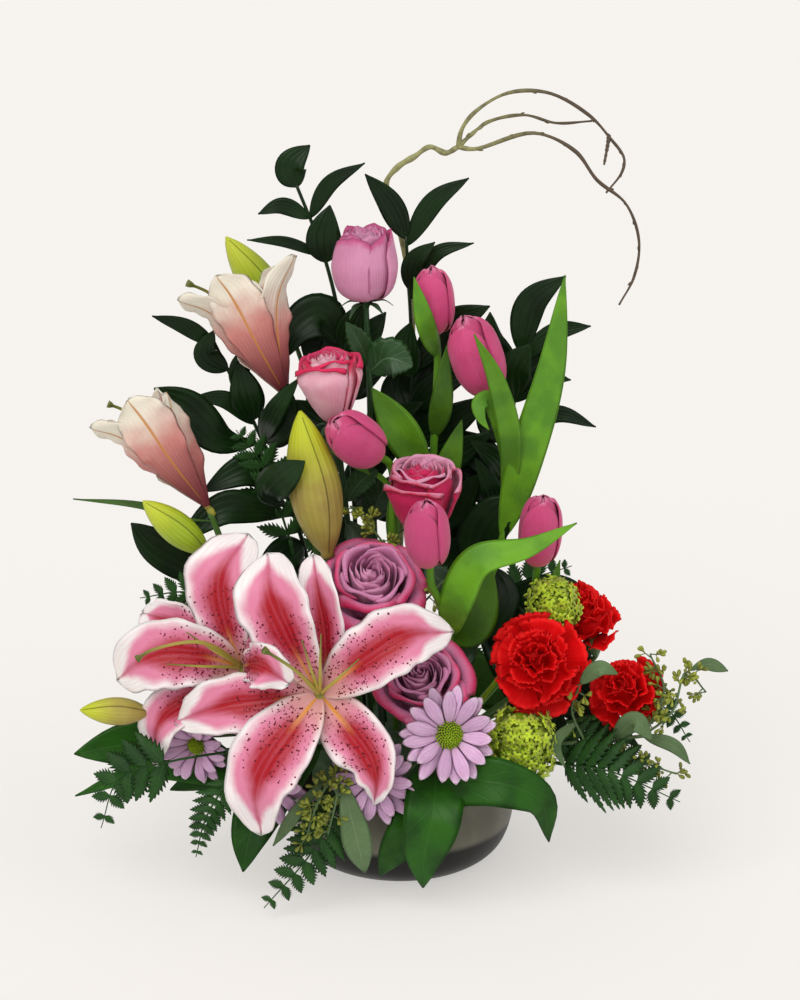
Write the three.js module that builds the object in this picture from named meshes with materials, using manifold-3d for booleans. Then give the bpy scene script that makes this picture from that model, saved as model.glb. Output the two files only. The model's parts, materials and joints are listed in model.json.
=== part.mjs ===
// A flower arrangement in a low round bowl: lilies, roses, tulips, carnations, daisies, viburnum and
// greens, standing in floral foam. Millimetres, +Z up, origin at the centre of the bowl's flat foot.
import * as THREE from "three";
import { mergeVertices } from "three/addons/utils/BufferGeometryUtils.js";
import Module from "manifold-3d";

const wasm = await Module();
wasm.setup();

// ---------------------------------------------------------------- how the picture gives a place
// A place is written [u, v, y]: u and v are picture units of an 800 by 1000 front view, and y is the
// real depth in millimetres, from the bowl's axis and away from the viewer.
const EYE_DISTANCE = 1600;
const EYE_RISE = THREE.MathUtils.degToRad(16);
const UNIT_SIZE = 0.7; // millimetres across one picture unit at the bowl's axis
const PICTURE_CENTRE = { u: 400, v: 500 };
const SIGHT_HEIGHT = 265; // height of the point that the picture's centre looks at
const FOCAL = EYE_DISTANCE / UNIT_SIZE;
const TO_VIEWER = new THREE.Vector3(0, -Math.cos(EYE_RISE), Math.sin(EYE_RISE));

// ---------------------------------------------------------------- sizes of the holder
const BOWL = { foot: 50, belly: 82, bellyHeight: 36, rim: 80, height: 62, wall: 3.2, floor: 5 };
const STEM_DEPTH = 26; // how far a stem goes down into the foam
const FOAM = { radius: 66, bottom: 6, top: 92, chamfer: 12, sides: 10 };

// ---------------------------------------------------------------- thicknesses and clearances
const GAP = 0.35; // left round a piece where another node passes it
const PETAL = 1.3; // thickness of a petal along its middle
const LEAF = 1.5; // thickness of a leaf along its rib
const STEM_SIDES = 4;
const WELD = 1e-3; // vertices closer than this are one

// What keeps its place when pieces of two nodes meet: the lower rank stays whole.
const RANK = { holder: 0, stem: 1, foam: 2, bloom: 3, bud: 4, leaf: 5, fern: 6 };

const FINISH = {
  bowl: { color: 0x1b1b19, roughness: 0.32, metalness: 0.1 },
  foam: { color: 0x35502f, roughness: 0.95, metalness: 0 },
  rose: { color: 0xd2709c, roughness: 0.6, metalness: 0 },
  tulip: { color: 0xc9527e, roughness: 0.5, metalness: 0 },
  carnation: { color: 0xcf1414, roughness: 0.7, metalness: 0 },
  lily: { color: 0xe890a8, roughness: 0.5, metalness: 0 },
  daisy: { color: 0xd3b0cd, roughness: 0.65, metalness: 0 },
  viburnum: { color: 0xa9b63c, roughness: 0.7, metalness: 0 },
  lilyGreen: { color: 0x9aa83a, roughness: 0.5, metalness: 0 },
  stemGreen: { color: 0x3f6b24, roughness: 0.55, metalness: 0 },
  tulipGreen: { color: 0x6f9f35, roughness: 0.5, metalness: 0 },
  ruscus: { color: 0x12341a, roughness: 0.35, metalness: 0 },
  eucalyptus: { color: 0x6d8552, roughness: 0.6, metalness: 0 },
  fern: { color: 0x275a26, roughness: 0.5, metalness: 0 },
  collar: { color: 0x245c1c, roughness: 0.4, metalness: 0 },
  willow: { color: 0x6a5a2c, roughness: 0.7, metalness: 0 },
};

// ================================================================= helpers

/** The point in space of a place [u, v, y]. */
function seen(place) {
  if (place.isVector3) return place.clone();
  const [u, v, y] = place;
  const [cos, sin] = [Math.cos(EYE_RISE), Math.sin(EYE_RISE)];
  const slope = (PICTURE_CENTRE.v - v) / FOCAL;
  const up = (slope * EYE_DISTANCE + y * (slope * cos - sin)) / (cos + slope * sin);
  const away = EYE_DISTANCE + y * cos - up * sin;
  return new THREE.Vector3(((u - PICTURE_CENTRE.u) / FOCAL) * away, y, SIGHT_HEIGHT + up);
}

/** A point in millimetres. */
const at = (x, y, z) => new THREE.Vector3(x, y, z);

/** A seeded row of numbers from 0 to 1. */
function dice(seed) {
  let state = seed;
  return () => {
    state = (state * 1664525 + 1013904223) % 4294967296;
    return state / 4294967296;
  };
}

/** A closed solid from loose positions and corner numbers. */
function closed(positions, corners) {
  const vertProperties = new Float32Array(positions.flatMap((p) => [p.x, p.y, p.z]));
  const mesh = new wasm.Mesh({ numProp: 3, vertProperties, triVerts: new Uint32Array(corners) });
  return new wasm.Manifold(mesh);
}

/** A closed solid from a three.js geometry, moved to a point. */
function solidOf(geometry, centre = new THREE.Vector3()) {
  geometry.translate(centre.x, centre.y, centre.z);
  geometry.deleteAttribute("normal");
  geometry.deleteAttribute("uv");
  const merged = mergeVertices(geometry, 1e-4);
  const { position } = merged.attributes;
  const points = [];
  for (let i = 0; i < position.count; i++) {
    points.push(new THREE.Vector3().fromBufferAttribute(position, i));
  }
  const corners = [];
  for (let i = 0; i < merged.index.count; i += 3) {
    const face = [0, 1, 2].map((k) => merged.index.getX(i + k));
    if (new Set(face).size === 3) corners.push(...face);
  }
  return closed(points, corners);
}

const unite = (solids) => solids.reduce((sum, one) => sum.add(one));

/** Moves a border point away from its inner neighbour. */
const pushed = (point, inner, step) =>
  point.clone().add(point.clone().sub(inner).normalize().multiplyScalar(step));

/**
 * A thin solid on a grid of points: rows run from root to tip, and a row of one point is a pointed
 * end. It is thick inside and sharp along its border, and both faces are split alike.
 */
function sheet(grid, thickness, grow = 0) {
  const rows = grid.map((row) => row.map((p) => p.clone()));
  const last = rows.length - 1;
  if (grow > 0) {
    for (const row of rows) {
      if (row.length === 1) continue;
      row[0] = pushed(row[0], row[1], 3 * grow);
      row[row.length - 1] = pushed(row[row.length - 1], row[row.length - 2], 3 * grow);
    }
    const middle = (row) => row[Math.floor(row.length / 2)];
    const step = rows[last].map((p) => pushed(p, middle(rows[last - 1]), 3 * grow));
    rows[last] = step;
  }
  const points = [];
  const number = rows.map((row) => row.map(() => [0, 0]));
  rows.forEach((row, i) =>
    row.forEach((point, j) => {
      const border = i === 0 || i === last || j === 0 || j === row.length - 1;
      if (border) {
        number[i][j] = [points.length, points.length];
        points.push(point);
        return;
      }
      const before = rows[i - 1][Math.min(j, rows[i - 1].length - 1)];
      const after = rows[i + 1][Math.min(j, rows[i + 1].length - 1)];
      const across = row[j + 1].clone().sub(row[j - 1]);
      const normal = across.cross(after.clone().sub(before)).normalize();
      normal.multiplyScalar(thickness / 2 + grow);
      number[i][j] = [points.length, points.length + 1];
      points.push(point.clone().add(normal), point.clone().sub(normal));
    }),
  );
  const corners = [];
  const face = (a, b, c) => {
    corners.push(a[0], b[0], c[0]);
    corners.push(a[1], c[1], b[1]);
  };
  for (let i = 0; i < last; i++) {
    const [near, far] = [number[i], number[i + 1]];
    const steps = Math.max(near.length, far.length) - 1;
    for (let j = 0; j < steps; j++) {
      if (near.length === 1) face(near[0], far[j + 1], far[j]);
      else if (far.length === 1) face(near[j], near[j + 1], far[0]);
      else {
        face(near[j], near[j + 1], far[j]);
        face(near[j + 1], far[j + 1], far[j]);
      }
    }
  }
  return closed(points, corners);
}

/** Even points along a smooth curve through the given ones. */
function along(points, steps) {
  return new THREE.CatmullRomCurve3(points, false, "centripetal").getPoints(steps);
}

/** A round solid along a row of points; a radius of 0 makes a pointed end. */
function limb(points, radii, sides = STEM_SIDES, grow = 0) {
  const last = points.length - 1;
  const tangent = (i) =>
    points[Math.min(i + 1, last)].clone().sub(points[Math.max(i - 1, 0)]).normalize();
  const first = tangent(0);
  let side = new THREE.Vector3(0, 1, 0).cross(first);
  if (side.length() < 0.2) side = new THREE.Vector3(1, 0, 0).cross(first);
  const vertices = [];
  const rings = points.map((point, i) => {
    const t = tangent(i);
    side.addScaledVector(t, -side.dot(t)).normalize();
    const other = t.clone().cross(side);
    if (radii[i] === 0) {
      vertices.push(point.clone().addScaledVector(t, i === 0 ? -2 * grow : 2 * grow));
      return [vertices.length - 1];
    }
    const ring = [];
    for (let k = 0; k < sides; k++) {
      const angle = (2 * Math.PI * k) / sides;
      const reach = radii[i] + grow;
      const end = i === 0 ? -grow : i === last ? grow : 0;
      const vertex = point.clone().addScaledVector(t, end);
      vertex.addScaledVector(side, reach * Math.cos(angle));
      vertex.addScaledVector(other, reach * Math.sin(angle));
      ring.push(vertices.push(vertex) - 1);
    }
    return ring;
  });
  const corners = [];
  rings.slice(1).forEach((far, i) => {
    const near = rings[i];
    for (let k = 0; k < sides; k++) {
      const next = (k + 1) % sides;
      if (near.length === 1) corners.push(near[0], far[next], far[k]);
      else if (far.length === 1) corners.push(near[k], near[next], far[0]);
      else corners.push(near[k], near[next], far[k], near[next], far[next], far[k]);
    }
  });
  const cap = (ring, turned) => {
    for (let k = 1; k < ring.length - 1; k++) {
      corners.push(ring[0], ...(turned ? [ring[k + 1], ring[k]] : [ring[k], ring[k + 1]]));
    }
  };
  cap(rings[0], true);
  cap(rings[last], false);
  return closed(vertices, corners);
}

/** Polar coordinates about an axis from base to tip: (radius, angle, height) to a point. */
function polar(base, tip, turn = 0) {
  const axis = tip.clone().sub(base).normalize();
  const hint = Math.abs(axis.x) > 0.9 ? new THREE.Vector3(0, 0, 1) : new THREE.Vector3(1, 0, 0);
  const across = hint.addScaledVector(axis, -hint.dot(axis)).normalize();
  const other = axis.clone().cross(across);
  return (radius, angle, height) =>
    base
      .clone()
      .addScaledVector(across, radius * Math.cos(angle + turn))
      .addScaledVector(other, radius * Math.sin(angle + turn))
      .addScaledVector(axis, height);
}

/** Width of a leaf or petal at t from root to tip: 0 at both ends and 1 at its widest, at peak. */
const swell = (t, peak, power = 1) =>
  Math.sin(Math.PI * Math.pow(t, Math.log(0.5) / Math.log(peak))) ** power;

// ================================================================= leaves and petals

/**
 * A leaf along a rib of places. width is in millimetres; roll turns it from facing the viewer, in
 * degrees; fold raises its sides; wave ripples them.
 */
function leaf(spec, steps, grow) {
  const { rib, width, roll = 0, peak = 0.42, power = 0.85, fold = 0.12, wave = 0 } = spec;
  const path = along(rib.map(seen), steps);
  const grid = path.map((point, i) => {
    if (i === 0 || i === steps) return [point];
    const t = path[i + 1].clone().sub(path[i - 1]).normalize();
    const normal = TO_VIEWER.clone().addScaledVector(t, -TO_VIEWER.dot(t)).normalize();
    normal.applyAxisAngle(t, THREE.MathUtils.degToRad(roll));
    const side = t.clone().cross(normal);
    const half = (width / 2) * swell(i / steps, peak, power);
    const lift = fold * half + wave * Math.sin(2.4 * i);
    return [-1, 0, 1].map((s) =>
      point
        .clone()
        .addScaledVector(side, s * half)
        .addScaledVector(normal, s === 0 ? 0 : lift),
    );
  });
  return sheet(grid, LEAF, grow);
}

/** A fern frond: pointed leaflets cut nearly to the rib, shrinking to the tip. */
function frond({ rib, width, roll = 0, pairs = 4, droop = 0.14 }, grow) {
  const count = pairs + 1;
  const path = along(rib.map(seen), count);
  const vertices = [];
  const corners = [];
  const add = (point) => vertices.push(point) - 1;
  const lean = 0.5; // how far a leaflet leans towards the tip, as a share of its length
  const stations = path.map((point, i) => {
    const t = path[Math.min(i + 1, count)].clone().sub(path[Math.max(i - 1, 0)]).normalize();
    const normal = TO_VIEWER.clone().addScaledVector(t, -TO_VIEWER.dot(t)).normalize();
    normal.applyAxisAngle(t, THREE.MathUtils.degToRad(roll));
    return { point, t, normal, side: t.clone().cross(normal) };
  });
  const raised = (point, normal, height) => add(point.clone().addScaledVector(normal, height));
  const half = LEAF / 2 + grow;
  const top = stations.map(({ point, normal }) => raised(point, normal, half));
  const under = stations.map(({ point, normal }) => raised(point, normal, -half));
  for (const s of [1, -1]) {
    const notches = stations.map(({ point, side }) => raised(point, side, s * (1.3 + grow)));
    const face = (a, b, c, turned) => corners.push(...(turned ? [a, c, b] : [a, b, c]));
    for (let i = 0; i < count; i++) {
      const { point, t, normal, side } = stations[i];
      const step = stations[i + 1].point.distanceTo(point);
      const share = i === pairs ? 0.5 : THREE.MathUtils.lerp(0.6, 1, Math.min(1, i / 2));
      const reach = (width / 2) * share * Math.pow(1 - i / (count + 1), 0.8) + 2 * grow;
      const spot = (out, forward) =>
        point
          .clone()
          .addScaledVector(side, s * out * reach)
          .addScaledVector(t, forward * step + lean * out * reach)
          .addScaledVector(normal, -droop * out * out * reach);
      const faces = [1, -1].map((up) => raised(spot(0.45, 0.5), normal, up * (LEAF * 0.42 + grow)));
      const edge = [notches[i], add(spot(0.55, 0.05)), add(spot(1, 0.5)), notches[i + 1]];
      const fan = [top[i], ...edge, top[i + 1]];
      const fanUnder = [under[i], ...edge, under[i + 1]];
      for (let k = 0; k < fan.length - 1; k++) {
        face(faces[0], fan[k], fan[k + 1], s === -1);
        face(faces[1], fanUnder[k], fanUnder[k + 1], s === 1);
      }
      face(faces[0], top[i + 1], top[i], s === -1);
      face(faces[1], under[i + 1], under[i], s === 1);
    }
    face(top[0], under[0], notches[0], s === -1);
    face(top[count], under[count], notches[count], s === 1);
  }
  return closed(vertices, corners);
}

/** A long tepal or petal along a rib of points, facing a direction, with a rippled border. */
function tepal(spec, facing, grow) {
  const { rib, width, peak = 0.5, power = 0.8, cup = 0.1, wave = 1.6, steps = 5, plain } = spec;
  const path = along(rib, steps);
  const grid = path.map((point, i) => {
    if (i === 0 || i === steps) return [point];
    const t = path[i + 1].clone().sub(path[i - 1]).normalize();
    const normal = facing.clone().addScaledVector(t, -facing.dot(t)).normalize();
    const side = t.clone().cross(normal);
    const half = (width / 2) * swell(i / steps, peak, power);
    return (plain ? [-1, 0, 1] : [-1, -0.52, 0, 0.52, 1]).map((s) => {
      const ripple = Math.abs(s) === 1 ? wave * Math.sin(2.1 * i + (s > 0 ? 0 : 1.3)) : 0;
      return point
        .clone()
        .addScaledVector(side, s * half)
        .addScaledVector(normal, cup * half * s * s * 2 + ripple);
    });
  });
  return sheet(grid, PETAL, grow);
}

// ================================================================= blooms

/**
 * A whorl of petals in one plate round an axis, its outline cut nearly to the hub. A petal's heart and
 * the points of its outline are [share of radius, share of its own angle, height].
 */
function whorl(place, form, radius, grow) {
  const { count, hub, hubHeight, crown = 0, heart, outline, turn = 0, vary = () => 1 } = form;
  const thick = PETAL / 2 + grow;
  const vertices = [place(0, 0, hubHeight + crown + thick), place(0, 0, hubHeight - thick)];
  const corners = [];
  const add = (r, angle, h) => vertices.push(place(r, angle, h)) - 1;
  const step = (2 * Math.PI) / count;
  const face = (a, b, c, turned) => corners.push(...(turned ? [a, c, b] : [a, b, c]));
  const faces = [1, -1];
  const ring = Array.from({ length: count }, (_, k) =>
    faces.map((s) => add(hub, turn + k * step, hubHeight + s * thick)),
  );
  const notches = ring.map((_, k) => add(hub * 1.35 + grow, turn + k * step, hubHeight));
  ring.forEach((near, k) => {
    const far = ring[(k + 1) % count];
    const angle = turn + (k + 0.5) * step;
    const reach = radius * vary(k);
    const [heartRadius, heartHeight] = [heart[0] * reach, heart[2] * vary(k)];
    const slope = new THREE.Vector2(heartRadius - hub, heartHeight - hubHeight).normalize();
    const [outward, raised] = [2 * grow * slope.x, 2 * grow * slope.y];
    const edge = outline.map(([r, share, h]) =>
      add(r * reach + outward, angle + share * step, h * vary(k) + raised),
    );
    const border = [notches[k], ...edge, notches[(k + 1) % count]];
    faces.forEach((s, under) => {
      const [inward, upward] = [s * thick * slope.y, s * thick * slope.x];
      const middle = add(heartRadius - inward, angle, heartHeight + upward);
      const fan = [near[under], ...border, far[under]];
      for (let i = 0; i < fan.length - 1; i++) face(middle, fan[i], fan[i + 1], under === 1);
      face(middle, far[under], near[under], under === 1);
      face(under, near[under], far[under], under === 1);
    });
  });
  return closed(vertices, corners);
}

/** A petal of a closed or cupped bloom, from rows of [radius, height, half angle, drop, spiral]. */
function shell(place, rows, middle, columns, grow) {
  const grid = rows.map(([radius, height, half, drop = 0, spiral = 0]) => {
    if (half === 0) return [place(radius, middle, height)];
    return Array.from({ length: columns + 1 }, (_, j) => {
      const s = (2 * j) / columns - 1;
      return place(radius + spiral * s, middle - s * half, height - drop * s * s);
    });
  });
  return sheet(grid, PETAL, grow);
}

/** A rose: a closed heart with petals in two layers that wrap round it in a spiral. */
function rose({ base, mouth, radius, open = 0.2, turn = 0 }, grow) {
  const [from, to] = [seen(base), seen(mouth)];
  const place = polar(from, to, turn);
  const height = from.distanceTo(to);
  const R = radius / 1.08;
  const layers = [
    { count: 4, reach: 1, lip: THREE.MathUtils.lerp(0.9, 0.62, open), flare: 0.08 + 0.1 * open },
    { count: 3, reach: 0.74, lip: THREE.MathUtils.lerp(0.98, 0.88, open), flare: 0 },
  ];
  const core = limb(
    [0, 0.28, 0.66, 0.93, 1].map((h) => place(0, 0, h * height)),
    [0.14, 0.42, 0.46, 0.3, 0].map((r) => r * R),
    5,
    grow,
  );
  const petals = layers.flatMap(({ count, reach, lip, flare }, layer) =>
    Array.from({ length: count }, (_, k) => {
      const half = (Math.PI / count) * 1.02;
      const r = reach * R;
      const rows = [
        [0, (0.03 + 0.04 * layer) * height, 0],
        [r * (0.76 + 0.1 * layer), (0.24 + 0.04 * layer) * height, half * 0.86, 0, 0.04 * R],
        [r, 0.62 * lip * height + 0.06 * height, half, 0, 0.07 * R],
        [r * (1 + flare), lip * height, half * 0.66, 0.1 * height, 0.05 * R],
      ];
      return shell(place, rows, (2 * Math.PI * k) / count + 0.7 * layer, 3 - layer, grow);
    }),
  );
  return unite([core, ...petals]);
}

/** A tulip: three outer and three inner petals closed over a small hip. */
function tulip({ base, tip, radius, turn = 0 }, grow) {
  const [from, to] = [seen(base), seen(tip)];
  const place = polar(from, to, turn);
  const height = from.distanceTo(to);
  const hip = limb(
    [0, 0.16, 0.3].map((h) => place(0, 0, h * height)),
    [0.18, 0.4, 0].map((r) => r * radius),
    3,
    grow,
  );
  const petals = [1.04, 0.76].flatMap((reach, layer) =>
    [0, 1, 2].map((k) => {
      const half = 1.06 - 0.06 * layer;
      const r = reach * radius;
      const rows = [
        [0, (0.03 + 0.05 * layer) * height, 0],
        [0.88 * r, 0.27 * height, half * 0.85, 0, 0.05 * radius],
        [0.98 * r, 0.6 * height, half, 0, 0.07 * radius],
        [0.76 * r, (0.85 + 0.02 * layer) * height, half * 0.66, 0.04 * height, 0.05 * radius],
        [(0.44 - 0.1 * layer) * r, (0.95 + 0.05 * layer) * height, 0],
      ];
      return shell(place, rows, (2 * Math.PI * k) / 3 + layer, 2, grow);
    }),
  );
  return unite([hip, ...petals]);
}

/** A carnation: whorls of ruffled, toothed petals one above another on a small core. */
function carnation({ base, mouth, radius, turn = 0 }, grow) {
  const [from, to] = [seen(base), seen(mouth)];
  const place = polar(from, to, turn);
  const height = from.distanceTo(to);
  const core = limb(
    [0.02, 0.3, 0.74].map((h) => place(0, 0, h * height)),
    [0.16, 0.3, 0.22].map((r) => r * radius),
    3,
    grow,
  );
  const tiers = [
    { count: 7, root: 0.2, reach: 1, lift: 0.42 },
    { count: 6, root: 0.42, reach: 0.84, lift: 0.74 },
    { count: 3, root: 0.62, reach: 0.56, lift: 1.02 },
  ];
  const whorls = tiers.map(({ count, root, reach, lift }, tier) => {
    const ruffle = 0.12 * radius;
    const form = {
      count,
      hub: (0.34 - 0.08 * tier) * radius,
      hubHeight: root * height,
      heart: [0.66, 0, THREE.MathUtils.lerp(root, lift, 0.6) * height],
      outline: [
        [0.82, -0.46, lift * height - 0.7 * ruffle],
        [1, -0.17, lift * height + ruffle],
        [0.94, 0.13, lift * height - ruffle],
        [0.95, 0.45, lift * height + 0.8 * ruffle],
      ],
      turn: 0.6 * tier,
      vary: (k) => 1 - 0.1 * ((k * 3) % 4 === 1),
    };
    return whorl(place, form, reach * radius, grow);
  });
  return unite([core, ...whorls]);
}

/** A daisy's ring of rays, one plate cut nearly to the hub. */
function daisy({ centre, towards, radius, rays = 12, cup = 0.12, turn = 0 }, grow) {
  const from = seen(centre);
  const place = polar(from, from.clone().add(new THREE.Vector3(...towards)), turn);
  const roll = dice(rays * 31 + Math.round(radius * 7));
  const uneven = Array.from({ length: rays }, () => 0.86 + 0.14 * roll());
  const form = {
    count: rays,
    hub: 0.22 * radius,
    hubHeight: 0,
    crown: 0.2 * radius,
    heart: [0.56, 0, 0.6 * cup * radius],
    outline: [
      [0.72, -0.44, 0.7 * cup * radius],
      [1, -0.08, cup * radius],
      [0.72, 0.44, 0.7 * cup * radius],
    ],
    vary: (k) => uneven[k],
  };
  return whorl(place, form, radius, grow);
}

/** A round head of small florets on a smaller core. */
function snowball({ centre, radii, florets, size, seed }, grow) {
  const heart = seen(centre);
  const core = new THREE.IcosahedronGeometry(1, 0);
  core.scale(...radii.map((r) => r * 0.95 + grow));
  const roll = dice(seed);
  const solids = [solidOf(core, heart)];
  const golden = Math.PI * (3 - Math.sqrt(5));
  for (let i = 0; i < florets; i++) {
    const z = 1 - (2 * (i + 0.5)) / florets;
    const ring = Math.sqrt(1 - z * z);
    const out = new THREE.Vector3(ring * Math.cos(golden * i), ring * Math.sin(golden * i), z);
    const floret = new THREE.OctahedronGeometry(size * (0.9 + 0.25 * roll()) + grow, 0);
    floret.scale(1, 1, 0.8);
    floret.rotateZ(roll() * Math.PI);
    floret.applyQuaternion(new THREE.Quaternion().setFromUnitVectors(new THREE.Vector3(0, 0, 1), out));
    const reach = 0.84 + 0.05 * roll();
    const at = new THREE.Vector3(out.x * radii[0], out.y * radii[1], out.z * radii[2]);
    solids.push(solidOf(floret, heart.clone().addScaledVector(at, reach)));
  }
  return unite(solids);
}

/** A pointed bud: a ribbed spindle from base to tip. */
function bud({ base, tip, radius, fullest = 0.45 }, grow) {
  const [from, to] = [seen(base), seen(tip)];
  const shares = [0, 0.2, fullest, 0.82, 1];
  const girths = [0.3, 0.8, 1, 0.6, 0];
  return limb(
    shares.map((s) => from.clone().lerp(to, s)),
    girths.map((g) => g * radius),
    6,
    grow,
  );
}

// ================================================================= the holder

/** The bowl: a turned wall with a rounded rim over a flat foot. */
function bowl() {
  const { foot, belly, bellyHeight, rim, height, wall, floor } = BOWL;
  const profile = [
    [0, 0],
    [foot, 0],
    [foot + 14, 4],
    [foot + 25, 14],
    [belly, bellyHeight],
    [rim, height],
    [rim - wall, height],
    [belly - wall, bellyHeight],
    [foot + 22, 17],
    [foot + 10, floor + 3],
    [0, floor],
  ];
  return solidOf(standing(profile, 22));
}

/** The floral foam: a many-sided block with a chamfered top, standing on the bowl's floor. */
function foam() {
  const { radius, bottom, top, chamfer, sides } = FOAM;
  const profile = [
    [0, bottom],
    [BOWL.foot, bottom],
    [radius, bottom + 22],
    [radius, top - chamfer],
    [radius - chamfer, top],
    [0, top],
  ];
  return solidOf(standing(profile, sides));
}

/** A turned solid on the Z axis from an outline of [radius, height] that starts and ends on it. */
function standing(profile, sides) {
  const outline = profile.map(([r, h]) => new THREE.Vector2(r, h));
  const geometry = new THREE.LatheGeometry(outline, sides);
  geometry.rotateX(Math.PI / 2);
  return geometry;
}

// ================================================================= assembly of nodes

const elements = []; // every solid to be made, with its node, its rank and a maker that can grow it
const finishes = new Map();

function element(node, finish, rank, make) {
  finishes.set(node, finish);
  elements.push({ node, rank, make });
}

/** A stem's smooth path from its hole in the foam to its bloom, and its solid. */
function growStem(node, finish, spec) {
  const { foot, via = [], base, mouth, thick = 2.4, thin = 2, hip = 0, steps = 4, sides = STEM_SIDES } = spec;
  const end = seen(base);
  const axis = mouth ? seen(mouth).sub(end).normalize() : null;
  const [x, y] = foot;
  const root = new THREE.Vector3(0.8 * x, 0.8 * y, FOAM.top - STEM_DEPTH);
  const points = [new THREE.Vector3(x, y, FOAM.top + 3), ...via.map(seen)];
  if (axis) points.push(end.clone().addScaledVector(axis, -14));
  points.push(axis ? end.clone().addScaledVector(axis, 1.5) : end);
  const path = [root, ...along(points, steps)];
  element(node, finish, RANK.stem, (grow) => {
    const radii = path.map((_, i) => THREE.MathUtils.lerp(thick, thin, i / (steps + 1)));
    if (hip) radii[steps + 1] = hip;
    return limb(path, radii, sides, grow);
  });
  return path;
}

/** The place on a path nearest to a given place, as a point. */
function nearest(path, place) {
  const fine = new THREE.CatmullRomCurve3(path, false, "centripetal").getPoints(60);
  const wanted = seen(place);
  return fine.reduce((best, p) => (p.distanceTo(wanted) < best.distanceTo(wanted) ? p : best));
}

/** A leaf whose rib starts on its stem. */
function growLeaf(node, finish, path, spec, steps = 3, rank = RANK.leaf) {
  const rib = [nearest(path, spec.rib[0]), ...spec.rib.slice(1)];
  element(node, finish, rank, (grow) => leaf({ ...spec, rib }, steps, grow));
}

/** A side shoot from a stem to a place, thin and round. */
function growShoot(node, finish, path, places, thick = 1.8, thin = 1.4, steps = 4) {
  const points = along([nearest(path, places[0]), ...places.slice(1).map(seen)], steps);
  element(node, finish, RANK.stem, (grow) =>
    limb(points, points.map((_, i) => THREE.MathUtils.lerp(thick, thin, i / steps)), STEM_SIDES, grow),
  );
  return points;
}

// ================================================================= the arrangement

element("bowl", FINISH.bowl, RANK.holder, bowl);
element("foam", FINISH.foam, RANK.foam, foam);

const ROSES = [
  {
    base: [366, 302, 12], mouth: [364, 230, 0], radius: 24, open: 0.1, turn: 0.4, foot: [-12, 20],
    via: [[372, 480, 14], [369, 370, 13]],
    leaves: [
      { rib: [[369, 372, 13], [388, 366, 0], [411, 372, -4]], width: 22 },
      { rib: [[369, 366, 13], [360, 352, 2], [352, 342, -2]], width: 16 },
    ],
  },
  {
    base: [334, 424, -20], mouth: [328, 354, -38], radius: 25, open: 0.35, turn: 1.3, foot: [-20, 2],
    via: [[352, 560, -6]],
    leaves: [{ rib: [[345, 500, -10], [362, 492, -22], [378, 498, -28]], width: 15 }],
  },
  {
    base: [424, 530, -30], mouth: [424, 464, -54], radius: 27, open: 0.4, turn: 0.2, foot: [12, -4],
    via: [],
    leaves: [{ rib: [[420, 590, -16], [398, 606, -20], [384, 632, -24]], width: 16 }],
  },
  {
    base: [366, 606, -36], mouth: [371, 572, -74], radius: 31, open: 0.95, turn: 0.7, foot: [-12, -20],
    via: [],
    leaves: [{ rib: [[360, 650, -24], [342, 640, -34], [330, 650, -40]], width: 14 }],
  },
  {
    base: [424, 694, -58], mouth: [420, 672, -92], radius: 26, open: 0.9, turn: 2.1, foot: [12, -40],
    via: [],
    leaves: [{ rib: [[421, 712, -48], [440, 706, -66], [462, 704, -70]], width: 15 }],
  },
];

const TULIPS = [
  {
    base: [436, 335, 18], tip: [431, 268, 10], radius: 13.5, turn: 0.4, foot: [4, 26],
    via: [[430, 500, 20], [436, 400, 20]],
    leaves: [
      { rib: [[437, 358, 18], [423, 326, -6], [414, 277, -8]], width: 13, roll: 10, peak: 0.4 },
      { rib: [[430, 470, 18], [402, 430, 2], [378, 392, 0]], width: 20, roll: 15, peak: 0.5 },
    ],
  },
  {
    base: [490, 394, 6], tip: [464, 318, -8], radius: 17, turn: 0.2, foot: [24, 10],
    via: [[506, 520, 2], [503, 440, 6]],
    leaves: [
      { rib: [[507, 540, 2], [522, 470, -12], [551, 370, -12], [565, 275, -2]], width: 25, peak: 0.42 },
      { rib: [[506, 520, 2], [508, 440, -18], [494, 380, -26], [474, 334, -36]], width: 15, peak: 0.4 },
      { rib: [[503, 450, 6], [490, 420, -8], [480, 397, -14]], width: 11, roll: 30 },
    ],
  },
  {
    base: [378, 456, -36], tip: [334, 422, -60], radius: 16, turn: 0.9, foot: [-2, 4],
    via: [[392, 540, -22]],
    leaves: [{ rib: [[391, 560, -20], [392, 516, -8], [394, 472, -6]], width: 12, roll: 40 }],
  },
  {
    base: [430, 566, -90], tip: [425, 502, -104], radius: 14, turn: 0.1, foot: [20, -22],
    via: [[450, 660, -34], [443, 610, -66]],
    leaves: [
      {
        rib: [[446, 640, -50], [457, 600, -84], [478, 562, -92], [528, 548, -88], [577, 523, -78]],
        width: 25, peak: 0.36, roll: -20, fold: 0.2,
      },
    ],
  },
  {
    base: [537, 565, -40], tip: [543, 496, -54], radius: 14, turn: 0.5, foot: [42, 0],
    via: [[528, 640, -26]],
    leaves: [{ rib: [[530, 650, -24], [548, 600, -30], [560, 560, -24]], width: 12, roll: 20 }],
  },
];

const CARNATIONS = [
  { base: [542, 668, -58], mouth: [533, 655, -102], radius: 33, turn: 0.2, foot: [34, -28], via: [] },
  { base: [592, 640, -14], mouth: [580, 594, -26], radius: 22, turn: 0.9, foot: [54, 2], via: [] },
  { base: [630, 702, -40], mouth: [621, 680, -80], radius: 26, turn: 1.4, foot: [54, -20], via: [] },
];

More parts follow.
